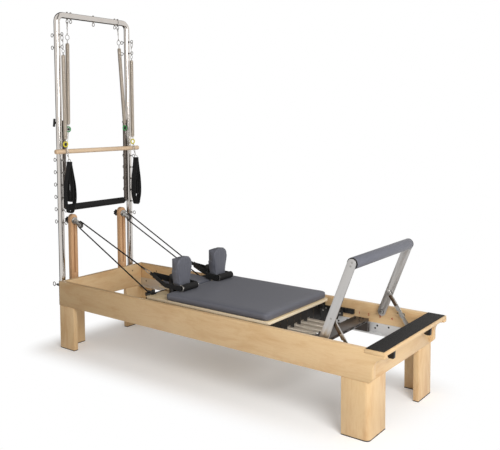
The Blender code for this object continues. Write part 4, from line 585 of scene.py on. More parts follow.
RISER_Y = 0.205
CARRIER_Z = 0.775
SHEAVE = (HEAD_X + 0.036, 0.753)
for side, way in SIDES:
    node = "pulley_carrier_" + side
    clamp_back = HEAD_X - 0.0546
    reskin(node, "pulley_clamp_" + side, 0.0006, satin_steel, "pulley_" + side, [((clamp_back, 0, 0), -X)])
    lobes = []
    for index in range(56):
        turn = math.tau * index / 56
        radius = 0.0192 + 0.0024 * math.cos(7 * turn)
        lobes.append((way * RISER_Y + radius * math.cos(turn), CARRIER_Z + radius * math.sin(turn)))
    knob = add_plate("riser_knob_" + side, lobes, "X", clamp_back, HEAD_X - 0.094, 0.003)
    dress(knob, black_nylon, "pulley_" + side, node)
    front = Vector((HEAD_X - 0.0179, way * RISER_Y, CARRIER_Z))
    parts = [add_rod("washer", front, front + 0.0016 * X, 0.0162, 32, 0.05)]
    for edge in (-1, 1):
        y = way * RISER_Y + edge * 0.0082
        parts.append(add_rod("hub", (SHEAVE[0], y, SHEAVE[1]), (SHEAVE[0], y + edge * 0.0018, SHEAVE[1]), 0.0062, 20))
    dress(joined("pulley_hubs_" + side, parts), bright_zinc, "pulley_" + side, node)


# Sheaves
# The turned nylon wheels that the cords run over, with a round groove.

wheel_nylon = polymer("Grey moulded nylon", "#3E3B39", "#56524F", 0.0016, 0.0001, 0.35)
groove = mirrored([(0.0039, -0.0055), (0.0204, -0.0055), (0.0214, -0.0049), (0.02, -0.0039), (0.0178, -0.0026),
    (0.0172, 0)])
for side, way in SIDES:
    wheel = add_turned("sheave_wheel_" + side, groove, (SHEAVE[0], way * RISER_Y, SHEAVE[1]), Y, 48)
    dress(wheel, wheel_nylon, "sheave_" + side, "sheave_" + side, True)


# Carriage cords
# On each side one braided black rope runs from the carriage's cord lock, up
# round the pulley and back to the handle. It is drawn in three lengths.

rope_cover, tree, shader, spot = new_material("Braided polyester rope", {"Specular IOR Level": 0.25})
# the braid's strands are 2 mm wide
braid = cells(tree, spot, 420)
finish_skin(tree, shader, mix(tree, braid, "#161515", "#070707"), remap(tree, braid, to_low=0.6, to_high=0.9), braid,
    0.6, 0.0006)
ROPE_RADIUS = 0.0041
ROPE_BEND = 0.0216
ROPE_SPLIT = HEAD_X + 0.132


def straight(start, end, count):
    return [Vector(start).lerp(Vector(end), index / count) for index in range(count + 1)]


for side, way in SIDES:
    centre = Vector((SHEAVE[0], way * RISER_Y, SHEAVE[1]))
    lock = Vector((HEAD_X + 0.6658, way * 0.231, 0.419))
    clip = Vector((HEAD_X + 0.5515, way * 0.178, 0.5467))
    angles = []
    for target, turn in ((lock, -1), (clip, 1)):
        flat = Vector((target.x - centre.x, target.z - centre.z))
        angles.append(math.atan2(flat.y, flat.x) + turn * math.acos(ROPE_BEND / flat.length))
    first, last = angles
    if last > first:
        last -= math.tau
    arc = []
    for index in range(19):
        turn = first + (last - first) * index / 18
        arc.append(centre + Vector((math.cos(turn), 0, math.sin(turn))) * ROPE_BEND)
    low = lock.lerp(arc[0], (lock.x - ROPE_SPLIT) / (lock.x - arc[0].x))
    high = clip.lerp(arc[-1], (clip.x - ROPE_SPLIT) / (clip.x - arc[-1].x))
    runs = (("lock", straight(lock, low, 18), ("frame", "carriage"), (low, lock)),
        ("pulley", straight(low, arc[0], 6) + arc[1:] + straight(arc[-1], high, 6)[1:], ("pulley_" + side, "frame"),
        (Vector((HEAD_X + 0.058, way * 0.205, 0.74)), low)), ("handle", straight(high, clip, 18), ("frame", "carriage"),
        (high, clip)))
    for label, path, bodies, span in runs:
        rope = add_wire("rope_" + label + "_" + side, path, ROPE_RADIUS, roundness=3)
        rope.data.materials.clear()
        rope.data.materials.append(rope_cover)
        bpy.ops.object.shade_smooth()
        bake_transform(rope)
        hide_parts("rope_" + side)


# Push-through bar
# A U of dark nickel-plated tube that hangs inside the uprights on two bolts.
# Its cross bar has a black closed-cell foam grip with rounded ends.

dark_nickel = metal("Dark nickel-plated steel tube", "#6F6760", "#5B534D", 0.26, (1, 1, 0.1), 60)
foam_skin, tree, shader, spot = new_material("Black closed-cell foam", {"Specular IOR Level": 0.3})
# the skin's cells are about 1 mm across and drawn 2 mm across
pits = cells(tree, spot, 500, "SMOOTH_F1")
finish_skin(tree, shader, mix(tree, noise(tree, spot, 30, 3), "#1A1919", "#0F0E0E"),
    remap(tree, pits, to_low=0.62, to_high=0.9), pits, 0.5, 0.0005)
PUSH_Y = 0.255
PUSH_PIVOT = 1.395
PUSH_LOW = 0.86
corners = [(TUBE_X, -PUSH_Y, PUSH_PIVOT + 0.014), (TUBE_X, -PUSH_Y, PUSH_LOW), (TUBE_X, PUSH_Y, PUSH_LOW),
    (TUBE_X, PUSH_Y, PUSH_PIVOT + 0.014)]
bar = add_wire("push_bar_tube", rounded_path(corners, 0.014, 8), 0.0119, roundness=5)
dress(bar, dark_nickel, "push_bar", "push_bar", True)
bolts = []
for side, way in SIDES:
    for start, end, radius, sides in ((PUSH_Y + 0.01, TOWER_HALF - 0.01, 0.0049, 16),
            (PUSH_Y - 0.0112, PUSH_Y - 0.016, 0.0072, 6)):
        bolts.append(add_rod("bolt", (TUBE_X, way * start, PUSH_PIVOT), (TUBE_X, way * end, PUSH_PIVOT), radius, sides))
dress(joined("push_bar_bolts", bolts), bright_zinc, "push_bar", "push_bar")
grip = mirrored([(0.0124, -0.2375), (0.0184, -0.2368), (0.0204, -0.234), (0.0211, -0.229)])
foam = add_turned("push_bar_grip", grip, (TUBE_X, 0, PUSH_LOW), Y, 36)
dress(foam, foam_skin, "push_bar", "push_bar_foam", True)


# Locking pin
# A black T-handled pin through the near upright holds the push-through bar.

spot = Vector((TUBE_X - 0.047, -TOWER_HALF, PUSH_PIVOT))
handle_bar = mirrored([(0, -0.0258), (0.005, -0.025), (0.007, -0.0225)])
parts = [add_turned("bar", handle_bar, spot, (0, 0.1, 1), 16), add_rod("stem", spot, (TUBE_X - 0.009, spot.y, spot.z),
    0.0039, 14), add_rod("collar", (spot.x + 0.012, spot.y, spot.z), (TUBE_X - 0.0204, spot.y, spot.z), 0.0074, 18,
    0.2)]
dress(joined("locking_pin", parts), black_nylon, "t_pin", "t_pin", True)


# Roll-down bar
# A turned beech dowel with a screw eye near each end, hung on a link and a
# green nylon ring tag with a dark middle, which names the spring's strength.

beech = maple("Turned beech dowel", "y", "#EDD5B8", "#E0C3A0", "#C8A27A", 17)
DOWEL_X = TUBE_X + 0.0338
DOWEL_Z = 1.217
dowel_shape = mirrored([(0, -0.3455), (0.0112, -0.3455), (0.0136, -0.3442), (0.0144, -0.3415)])
dowel = add_turned("roll_down_dowel", dowel_shape, (DOWEL_X, 0, DOWEL_Z), Y, 40)
dress(dowel, beech, "roll_down", "roll_down_bar", True)
green_tag = polymer("Green nylon ring tag", "#3F9B57", "#358A4B", 0.002, 0.0001, 0.4)
yellow_tag = polymer("Yellow nylon ring tag", "#E6D83A", "#D9C92C", 0.002, 0.0001, 0.4)


def link_path(centre, along, across, count, taper=0):
    """The closed path of an oval link, which a taper makes wider at its far end."""
    path = []
    for index in range(count):
        turn = math.tau * index / count
        path.append(centre + along * math.sin(turn) + across * (math.cos(turn) * (1 + taper * math.sin(turn))))
    return path


roll_tags = {}
for side, way in SIDES:
    tag = Vector((DOWEL_X - 0.01, way * 0.236, 1.354))
    roll_tags[side] = tag
    foot = Vector((DOWEL_X, way * 0.262, DOWEL_Z + 0.0115))
    up = (tag - foot).normalized()
    link_top = tag - up * 0.0155
    link_low = foot + up * 0.0195
    link = link_path((link_top + link_low) / 2, up * ((link_top - link_low).length / 2), X * 0.0042, 24)
    parts = [add_rod("screw", foot, foot + up * 0.012, 0.0026, 12), add_ring("eye", foot + up * 0.0185, Y, 0.0068,
        0.0017, 24, 8), add_wire("link", link, 0.0014, closed=True)]
    dress(joined("dowel_links_" + side, parts), bright_zinc, "roll_down", "roll_down_bar")
    dress(add_ring("green_tag_" + side, tag, X, 0.0153, 0.0041), green_tag, "roll_down", "roll_down_bar")
    disc = add_rod("tag_disc_" + side, tag - 0.0018 * X, tag + 0.0018 * X, 0.009, 28)
    dress(disc, black_nylon, "roll_down", "roll_down_bar")


# Roll-down springs
# Close-wound extension springs of 2.6 mm nickelled wire, with domed ends. A
# swivel and a ring hang each one from an eyebolt of the top bar.

spring_wire = metal("Nickelled spring wire", "#D9CFC2", "#C2B6A7", 0.34, (1, 1, 1), 200)
COIL_RADIUS = 0.011
COIL_WIRE = 0.0013
COIL_PITCH = 0.0027


def wound(start, end, radius, pitch, dome=4, steps=12):
    """The path of a close-wound coil whose ends draw in to a dome."""
    start, end = Vector(start), Vector(end)
    along = (end - start).normalized()
    across = along.orthogonal().normalized()
    other = along.cross(across)
    turns = round((end - start).length / pitch)
    path = []
    for index in range(turns * steps + 1):
        done = index / (turns * steps)
        near_end = min(done, 1 - done) * turns
        swell = 1
        if near_end < dome:
            swell = 0.28 + 0.72 * math.sqrt(1 - (1 - near_end / dome) ** 2)
        turn = math.tau * index / steps
        path.append(start.lerp(end, done) + (across * math.cos(turn) + other * math.sin(turn)) * radius * swell)
    return path


def at_height(start, way, height):
    """Where a falling line reaches this height."""
    return start + way * ((start.z - height) / -way.z)


def add_leads(ring_centre, coil_top, down, spread, drop, width, second_drop):
    """The V of wire from a ring into the coil."""
    return [add_wire("lead", [ring_centre + down * drop + spread * (turn * width),
        ring_centre + down * second_drop + spread * (turn * 0.003), coil_top + down * 0.004 + spread * (turn * 0.0014)],
        0.0014) for turn in (-1, 1)]


def add_coil(name, top, low, tag_top, node):
    """The coil and its lower eye, which stand in for the node."""
    parts = [add_wire("coil", wound(top, low, COIL_RADIUS, COIL_PITCH), COIL_WIRE, roundness=1),
        add_ring("lower_eye", tag_top + 0.0035 * Z, Y, 0.0072, 0.0014, 20, 8)]
    return dress(joined(name, parts), spring_wire, None, node, True)


for side, way in SIDES:
    node = "roll_down_spring_" + side
    eye = Vector((TUBE_X, way * 0.209, 2.0195))
    tag_top = roll_tags[side] + 0.0185 * Z
    down = (tag_top - eye).normalized()
    coil_top, coil_low, ring_centre = (at_height(eye, down, height) for height in (1.89, 1.384, 1.9265))
    neck = ring_centre - down * 0.015
    parts = [add_ring("hook", eye + down * 0.0045, Y, 0.0064, 0.0016, 24, 8),
        add_rod("swivel", eye + down * 0.011, eye.lerp(neck, 0.55), 0.0034, 14, 0.25),
        add_rod("stem", eye.lerp(neck, 0.5), neck + down * 0.002, 0.00204, 12),
        add_rod("swivel_foot", eye.lerp(neck, 0.86), neck, 0.00374, 14, 0.3),
        add_ring("ring", ring_centre, X, 0.015, 0.0017, 32, 8)]
    parts += add_leads(ring_centre, coil_top, down, X.cross(down).normalized(), 0.0075, 0.0129, 0.017)
    dress(joined("roll_down_hanger_" + side, parts), bright_zinc, "frame", node)
    spring = add_coil("roll_down_coil_" + side, coil_top, coil_low, tag_top, node)
    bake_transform(spring)


# Leg springs
# Two more of the same springs, each on a snap hook at the upper eyebolt of
# an upright. They swing forward with the leg loops that hang from them.

def spline(before, here, after, beyond, rest):
    """A place on the smooth curve through four points, between the second and the third."""
    return 0.5 * ((2 * here) + (after - before) * rest + (2 * before
        - 5 * here + 4 * after - beyond) * rest ** 2 + (3 * here - before - 3 * after + beyond) * rest ** 3)


leg_tags = {}
for side, way in SIDES:
    node = "leg_spring_" + side
    eye = Vector((TUBE_X + 0.048, way * TOWER_HALF, 1.93))
    aside = Vector((TUBE_X + 0.049, way * 0.2833, 1.9035))
    tag = Vector((HEAD_X + 0.005, way * 0.281, 1.262))
    leg_tags[side] = tag
    tag_top = tag + 0.0185 * Z
    down = (tag_top - aside).normalized()
    coil_top, coil_low, ring_centre = (at_height(aside, down, height) for height in (1.812, 1.292, 1.834))
    snap = [eye + (way * across) * Y + rise * Z for across, rise in ((0, 0.003), (0.0075, -0.004), (0.008, -0.018),
        (0.001, -0.034), (-0.0075, -0.024), (-0.0078, -0.006))]
    smooth = [spline(*(snap[(number // 8 + step) % 6] for step in (-1, 0, 1, 2)),
        number % 8 / 8) for number in range(48)]
    parts = [add_wire("snap_hook", smooth, 0.0019, closed=True), add_rod("shank", aside - down * 0.006,
        ring_centre - down * 0.0085, 0.0019, 12), add_rod("swivel", aside - down * 0.004, aside + down * 0.014, 0.003,
        14, 0.3), add_ring("ring", ring_centre, X, 0.01, 0.0016, 28, 8)]
    parts += add_leads(ring_centre, coil_top, down, Y, 0.004, 0.0088, 0.0125)
    dress(joined("leg_hanger_" + side, parts), bright_zinc, node, node)
    spring = add_coil("leg_coil_" + side, coil_top, coil_low, tag_top, node)
    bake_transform(spring)


# Leg loops
# Double loops of black polypropylene webbing, 34 mm wide and sewn at the
# neck. A yellow ring tag, a snap hook and a D-ring join them to the spring.

def webbing(name, dark, light, rib):
    """Woven tape: ribs along its length and picks across, read from the tape's own UV in metres. Its colour follows the
    relief, with painted shade in the troughs and a painted highlight on the ridges.
    """
    made, tree, shader, _ = new_material(name, {"Sheen Weight": 0.06, "Sheen Roughness": 0.5,
        "Specular IOR Level": 0.25})
    parts = add_node(tree, "SeparateXYZ", None, {0: add_node(tree, "UVMap").outputs["UV"]}).outputs
    waves = [calc(tree, "SINE", calc(tree, "MULTIPLY", parts[way], math.tau / pitch)) for way,
        pitch in (("X", rib * 0.8), ("Y", rib))]
    height = remap(tree, calc(tree, "MULTIPLY", *waves), -1, 1)
    # the ridges are painted lighter and the troughs darker: painted highlight and painted shade
    finish_skin(tree, shader, mix(tree, height, dark, light), remap(tree, height, to_low=0.85, to_high=0.6), height,
        0.6, 0.0005)
    return made


def eased(points, step):
    """A smooth path through the points, with a point about every step of its length."""
    spots = [Vector(point) for point in points]
    path = []
    for index in range(len(spots) - 1):
        before, here, after = spots[max(index - 1, 0)], spots[index], spots[index + 1]
        beyond = spots[min(index + 2, len(spots) - 1)]
        count = max(2, round((after - here).length / step))
        path += [spline(before, here, after, beyond, part / count) for part in range(count)]
    path.append(spots[-1])
    return path


def add_strap(name, points, width, thick, up, step=0.006):
    """A woven strap along a smooth path, its width along up, with rolled edges and a UV in metres."""
    path = eased(points, step)
    up = Vector(up).normalized()
    section = ((-0.5, -0.22), (-0.46, -0.5), (0.46, -0.5), (0.5, -0.22), (0.5, 0.22), (0.46, 0.5), (-0.46, 0.5),
        (-0.5, 0.22))
    spots, faces, places = [], [], []
    reach = 0
    for index, here in enumerate(path):
        before, after = path[max(index - 1, 0)], path[min(index + 1, len(path) - 1)]
        out = up.cross(after - before).normalized()
        rise = (after - before).normalized().cross(out).normalized() * -1
        rise = rise if rise.dot(up) > 0 else -rise
        if index:
            reach += (here - path[index - 1]).length
        for across, deep in section:
            spots.append(here + rise * width * across + out * thick * deep)
            places.append((reach, width * across))
    for index in range(len(path) - 1):
        for corner in range(8):
            other = (corner + 1) % 8
            faces.append((index * 8 + corner, index * 8 + other, index * 8 + 8 + other, index * 8 + 8 + corner))
    faces.append(tuple(reversed(range(8))))
    faces.append(tuple(range(len(spots) - 8, len(spots))))
    mesh = bpy.data.meshes.new(name)
    mesh.from_pydata(spots, [], faces)
    layer = mesh.uv_layers.new(name="Tape")
    for loop in mesh.loops:
        layer.data[loop.index].uv = places[loop.vertex_index]
    piece = bpy.data.objects.new(name, mesh)
    bpy.context.scene.collection.objects.link(piece)
    edit_all(piece)
    bpy.ops.mesh.normals_make_consistent(inside=False)
    set_mode("OBJECT")
    return piece


def teardrop(top, across, drop, half, steps, foot):
    """A hanging loop that leaves the neck, bulges and closes round a bottom as wide as the foot's share."""
    fall = Vector((0, 0, drop))
    sides = ((0.5, 0.2), (0.86, 0.42), (1, 0.62), (0.92, 0.78))
    points = [top + across * 0.006] + [top + across * half * out - fall * low for out, low in sides]
    round_half = half * foot
    centre = top - fall + Vector((0, 0, round_half * 1.1))
    for index in range(steps + 1):
        turn = math.pi * index / steps
        points.append(centre + across * round_half * math.cos(turn) - Vector((0, 0, round_half * 1.1 * math.sin(turn))))
    points += [top - across * half * out - fall * low for out, low in reversed(sides)] + [top - across * 0.006]
    return points


black_tape = webbing("Black polypropylene webbing", "#070707", "#171717", 0.0026)
for side, way in SIDES:
    node = "leg_loops_" + side
    tag = leg_tags[side]
    ahead = 0.005 if way > 0 else 0
    turn = math.radians(15 if way > 0 else 0)
    neck = Vector((HEAD_X + 0.0325 + ahead, way * 0.277, 1.14))
    across = Vector((-math.sin(turn), math.cos(turn), 0))
    tape = Vector((math.cos(turn), math.sin(turn), 0))
    parts = [add_strap("outer", teardrop(neck, across, 0.302, 0.036, 10, 0.52), 0.034, 0.0052, tape),
        add_strap("inner", teardrop(neck, across, 0.232, 0.015, 8, 0.75), 0.033, 0.0048, tape),
        add_strap("neck", [neck + 0.015 * Z, neck - 0.015 * Z], 0.034, 0.019, tape, 0.004)]
    dress(joined("leg_webbing_" + side, parts), black_tape, node, node, True)
    hang = (neck - tag).normalized()
    dress(add_ring("yellow_tag_" + side, tag, X, 0.0153, 0.0041), yellow_tag, node, node)
    if way < 0:
        disc = add_rod("leg_tag_disc_" + side, tag - 0.0018 * X, tag + 0.0018 * X, 0.009, 28)
        dress(disc, black_nylon, node, node)
    start = tag + hang * 0.014
    stop = neck + 0.015 * Z
    link = link_path(start.lerp(stop, 0.36), hang * ((stop - start).length * 0.3), Y * 0.0062, 32, -0.25)
    parts = [add_wire("snap_hook", link, 0.0019, closed=True), add_rod("shank", start.lerp(stop, 0.6),
        start.lerp(stop, 0.86), 0.003, 14, 0.25), add_ring("d_ring", start.lerp(stop, 0.97), across, 0.012, 0.0019, 28,
        8)]
    dress(joined("leg_hooks_" + side, parts), bright_zinc, node, node)


# Carriage board
# A birch plywood panel whose edges show its plies, lacquered clear. Two steel
# lugs on it hold the headrest's hinge.

plywood, tree, shader, spot = new_material("Birch plywood, clear lacquer", {"Coat Weight": 0.1, "Coat Roughness": 0.35})
along = add_node(tree, "Mapping", None, {"Vector": spot, "Scale": (0.09, 1, 1)}).outputs[0]
face = noise(tree, along, 60, 3, Distortion=0.2)
# the plies are 1.7 mm thick
height = add_node(tree, "SeparateXYZ", None, {0: spot}).outputs["Z"]
plies = remap(tree, calc(tree, "SINE", calc(tree, "MULTIPLY", height, math.tau / 0.0034)), -0.3, 0.3)
facing = add_node(tree, "SeparateXYZ", None, {0: add_node(tree, "NewGeometry").outputs["Normal"]}).outputs["Z"]
flat = remap(tree, calc(tree, "ABSOLUTE", facing), 0.45, 0.6)
colour = mix(tree, flat, mix(tree, plies, "#FBF0DA", "#E9D5B0"), mix(tree, face, "#EBD6B2", "#DEC59A"))
finish_skin(tree, shader, colour, remap(tree, face, to_low=0.36, to_high=0.52), face, 0.2, 0.0003)
BOARD_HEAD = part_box("carriage_board")[0][0]
# the panel reaches 22 mm further to the head end than the CAD's
STRETCH = 0.022
board = copy_solid("carriage_board", "carriage_panel")
for vertex in board.data.vertices:
    if vertex.co.x < BOARD_HEAD + 0.05:
        vertex.co.x -= STRETCH
soften(board, 0.0012)
dress(board, plywood, "carriage", "carriage_board", True)


# Carriage underframe
# Black coated steel channels run under the board, with a cross member for
# the spring pegs and a bracket for each wheel. The head bar holds the cord
# locks. Bright bolts fix it all.

frame_steel = copy_solid("carriage_frame", "carriage_channels")
for vertex in frame_steel.data.vertices:
    if vertex.co.x < BOARD_HEAD + 0.02:
        vertex.co.x -= STRETCH
        if vertex.co.z > 0.4155:
            vertex.co.z = 0.4155
soften(frame_steel, 0.0007)
dress(frame_steel, black_coat, "carriage", "carriage_frame", True)
# the comb under the board's foot edge: a band over the springs and a tooth beside each of them
comb_face = HEAD_X + 1.521
comb = [(-0.249, 0.4024), (-0.249, 0.302)]
for number in range(5):
    y = (number - 2) * 0.063
    comb += [(y - 0.015, 0.302), (y - 0.015, 0.342), (y + 0.015, 0.342), (y + 0.015, 0.302)]
comb += [(0.249, 0.302), (0.249, 0.4024)]
parts = [add_plate("spring_comb", comb, "X", comb_face - 0.003, comb_face),
    add_plate("flange", [(comb_face - 0.03, -0.249), (comb_face, -0.249), (comb_face, 0.249),
    (comb_face - 0.03, 0.249)], "Z", 0.3998, 0.4024)]
dress(joined("spring_comb", parts), black_coat, "carriage", "carriage_frame")
bolts = []
for number in range(6):
    rib = Vector((comb_face + 0.0008, (number - 2.5) * 0.063 + 0.013, 0.324))
    bolts.append(add_rod("rib", rib, rib + 0.056 * Z, 0.0011, 8))
for x in (0.8, 1.5):
    for side, way in SIDES:
        for step in (-0.017, 0.017):
            for z in (0.345, 0.378):
                bolts.append(add_screw("bolt", (HEAD_X + x + step, way * 0.2847, z), -way * Y, 0.0052, 0.0026))
                bolts.append(add_screw("bolt", (HEAD_X + x + step, way * 0.2907, z), way * Y, 0.0042, 0.0018))
dress(joined("carriage_bolts", bolts), bright_zinc, "carriage", "carriage_frame")
for side, way in SIDES:
    base = [(HEAD_X + along, way * aside) for along, aside in ((0.646, 0.216), (0.712, 0.216), (0.712, 0.247),
        (0.646, 0.247))]
    locks = [add_plate("base", base, "Z", 0.4186, 0.4226, 0.001)]
    for along, aside, radius, top in ((0.662, 0.231, 0.0095, 0.433), (0.69, 0.223, 0.0105, 0.44),
            (0.694, 0.241, 0.0095, 0.436)):
        locks.append(add_rod("cam", (HEAD_X + along, way * aside, 0.422), (HEAD_X + along, way * aside, top), radius,
            20, 0.2))
    tail = [(HEAD_X + 0.7, way * 0.236, 0.4285), (HEAD_X + 0.705, way * 0.262, 0.427),
        (HEAD_X + 0.69, way * 0.282, 0.425)]
    locks.append(add_wire("tail", eased(tail, 0.006), 0.0036))
    dress(joined("cord_lock_" + side, locks), black_nylon, "carriage", "carriage_frame")
    # the outer wheel plate runs on past the comb, with an edge cut in steps
    steps = [(1.527, 0.3765), (1.527, 0.306), (1.548, 0.306), (1.553, 0.322), (1.58, 0.322), (1.586, 0.308),
        (1.612, 0.308), (1.62, 0.33), (1.646, 0.334), (1.646, 0.362), (1.6, 0.3765)]
    guard = add_plate("guard", [(HEAD_X + across, height) for across, height in steps], "Y", way * 0.2782, way * 0.2812,
        0.0006)
    dress(guard, black_coat, "carriage", "carriage_frame")
    heads = [add_screw("bolt", (HEAD_X + along, way * 0.2782, height), -way * Y, 0.0046, 0.0024) for along,
        height in ((1.54, 0.362), (1.566, 0.345), (1.598, 0.322), (1.628, 0.347))]
    dress(joined("guard_bolts_" + side, heads), satin_steel, "carriage", "carriage_frame")


# Carriage wheels
# Moulded urethane tyres on a nylon hub, turning on steel axles.

urethane = polymer("Dark grey urethane", "#2B2B2D", "#38383A", 0.0018, 0.0001, 0.45)
tread = mirrored([(0.0054, -0.0074), (0.012, -0.0074), (0.0128, -0.0066), (0.015, -0.0066), (0.0158, -0.0075),
    (0.0196, -0.0075), (0.0207, -0.0064), (0.0209, 0)])
for end, x in (("head", 0.8), ("foot", 1.5)):
    for side, way in SIDES:
        node = "wheel_" + end + "_" + side
        low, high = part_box(node)
        middle = (HEAD_X + x, (low[1] + high[1]) / 2, (low[2] + high[2]) / 2)
        dress(add_turned(node + "_tyre", tread, middle, Y, 40), urethane, node, node, True)


# Carriage pad
# Firm foam on the board, wrapped in blue-grey vinyl that is stapled below.
# The cover is blown out a little as cloth and stays flat on the board.

def vinyl(name, colour, light):
    """Upholstery vinyl: fine pebbled grain, soft broad gloss and a little shading in the colour."""
    made, tree, shader, spot = new_material(name, {"Specular IOR Level": 0.4, "Sheen Weight": 0.08})
    # the grain's pebbles are 0.8 mm wide and drawn 1.6 mm wide
    pebble = cells(tree, spot, 620, "SMOOTH_F1")
    cloud = noise(tree, spot, 7, 4)
    shaded = add_node(tree, "VectorMath", {"operation": "SCALE"}, {0: mix(tree, cloud, colour, light),
        "Scale": remap(tree, pebble, 0.2, 0.8, 1, 0.88)}).outputs[0]
    finish_skin(tree, shader, shaded, remap(tree, cloud, to_low=0.42, to_high=0.58), pebble, 0.3, 0.0003)
    return made


def inflate(piece, voxel, cap, still):
    """The even skin is blown up as cloth for 20 frames; no point moves past the cap, or at all where still."""
    modify(piece, "REMESH", mode="VOXEL", voxel_size=voxel)
    modify(piece, "SMOOTH", factor=0.5, iterations=3)
    rest = [vertex.co.copy() for vertex in piece.data.vertices]
    cloth = piece.modifiers.new("Cover", "CLOTH")
    cloth.settings.quality = 5
    cloth.settings.use_pressure = True
    cloth.settings.uniform_pressure_force = 4
    cloth.settings.effector_weights.gravity = 0
    for number in range(1, 21):
        bpy.context.scene.frame_set(number)
    bpy.ops.object.modifier_apply(modifier=cloth.name)
    bpy.context.scene.frame_set(1)
    for vertex, start in zip(piece.data.vertices, rest):
        move = vertex.co - start
        if still(start):
            vertex.co = start
        elif move.length > cap:
            vertex.co = start + move * (cap / move.length)


def add_block(name, low, high, upright, level, steps=4):
    """A block with rounded upright corners and softly rolled top and bottom edges."""
    pick()
    size = Vector(high) - Vector(low)
    bpy.ops.mesh.primitive_cube_add(size=1, location=(Vector(low) + Vector(high)) / 2)
    piece = bpy.context.object
    piece.name = name
    piece.scale = size
    bpy.ops.object.transform_apply(location=True, rotation=True, scale=True)
    middle = (low[2] + high[2]) / 2
    for upright_edges, width, count in ((True, upright, steps * 2), (False, level, steps)):
        set_mode("EDIT")
        bpy.ops.mesh.select_mode(type="EDGE")
        bpy.ops.mesh.select_all(action="DESELECT")
        set_mode("OBJECT")
        for edge in piece.data.edges:
            first, second = (piece.data.vertices[index].co.z for index in edge.vertices)
            stands = abs(first - second) > 0.001
            edge.select = stands if upright_edges else not stands and (first > middle) == (second > middle)
        set_mode("EDIT")
        bpy.ops.mesh.bevel(offset=width, segments=count, affect="EDGES", clamp_overlap=True)
        set_mode("OBJECT")
    return piece


grey_vinyl = vinyl("Blue-grey upholstery vinyl", "#5E606A", "#676972")
low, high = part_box("carriage_pad")
low = (low[0] - STRETCH, low[1], low[2])
PAD_SWELL = 0.003
pad = add_block("carriage_cushion", (low[0] + PAD_SWELL, low[1] + PAD_SWELL, low[2]),
    (high[0] - PAD_SWELL, high[1] - PAD_SWELL, high[2] - PAD_SWELL), 0.028, 0.0085)
pad_floor = low[2]
inflate(pad, 0.0065, PAD_SWELL, lambda spot: spot.z < pad_floor + 0.0015)
dress(pad, grey_vinyl, "carriage", "carriage_pad", True, 60)


# Headrest
# A small plywood board on a hinge, propped a little, with its own thin pad.

PAD_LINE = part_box("carriage_pad")[0][0] - STRETCH - 0.003
reskin("headrest_board", "headrest_panel", 0.001, plywood, "headrest", [((PAD_LINE, 0, 0), X)])
pad = copy_solid("headrest_pad", "headrest_cushion")
cut(pad, (PAD_LINE - 0.0015, 0, 0), X)
low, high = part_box("headrest_pad")
slope = math.tan(math.radians(3.5))
base_height = low[2] + slope * high[0]
inflate(pad, 0.0045, 0.0012, lambda spot: spot.z < base_height - slope * spot.x + 0.004)
dress(pad, grey_vinyl, "headrest", "headrest_pad", True, 60)


# Shoulder rests
# Two thick upholstered paddles on flat steel posts. The vinyl is gathered
# over the round top, so that soft creases run down the face.

half_shape = [(0, 0.168), (0.025, 0.165), (0.044, 0.1545), (0.056, 0.138), (0.0605, 0.118), (0.0598, 0.098),
    (0.0555, 0.076), (0.0505, 0.054), (0.047, 0.033), (0.0455, 0.015), (0.042, 0.004), (0.034, 0.0005)]
for side, way in SIDES:
    reskin("shoulder_post_" + side, "shoulder_stand_" + side, 0.001, black_coat, "carriage")
    node = "shoulder_pad_" + side
    low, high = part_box(node)
    middle = Vector([(low[index] + high[index]) / 2 for index in range(3)])
    rim = [(across, high, 0) for across, high in half_shape]
    rim += [(-across, high, 0) for across, high in reversed(half_shape[1:])]
    rim = eased(rim + rim[:1], 0.005)[:-1]
    shape = [(middle.y + spot.x, low[2] + 0.0008 + spot.y) for spot in rim]
    pad = add_plate("shoulder_cushion_" + side, shape, "X", low[0], high[0] + 0.001)
    # the backing board is squarer at its top corners than the front
    for vertex in pad.data.vertices:
        across, height = vertex.co.y - middle.y, vertex.co.z - low[2]
        if vertex.co.x < low[0] + 0.001 and height > 0.09:
            lift = (height - 0.09) / 0.08
            vertex.co.y = middle.y + max(-0.052, min(0.052, across * (1 + 0.3 * lift)))
            vertex.co.z = low[2] + min(height, 0.159)
    soften(pad, 0.0075, 4, 50)
    back = low[0]
    inflate(pad, 0.0032, 0.0018, lambda spot: spot.x < back + 0.001)
    modify(pad, "SUBSURF", levels=1, render_levels=1)
    pad.data.update()
    for vertex in pad.data.vertices:
        spot = vertex.co
        across = (spot.y - middle.y) / 0.063
        height = (spot.z - low[2]) / 0.17
        crease = math.cos(across * 9 + 0.8 * way) * 0.55 + math.cos(across * 17 + 1.3) * 0.45
        depth = 0.0016 * crease * min(1, max(0, height * 1.6)) * (0 if spot.x < back + 0.002 else 1)
        vertex.co = spot - vertex.normal * max(0, depth)
    dress(pad, grey_vinyl, "carriage", node, True, 60)


# Handles
# Each handle is a foam grip on a loop of 34 mm webbing, hooked round its
# shoulder rest. A sleeve and a snap hook join it to the carriage cord.

def add_washer(name, inner, outer, half, spot, steps=32):
    """A flat ring with a slightly rounded rim."""
    profile = mirrored([(inner, -half), (outer, -half), (outer + 0.0004, 0)])
    return add_turned(name, profile, spot, Y, steps)


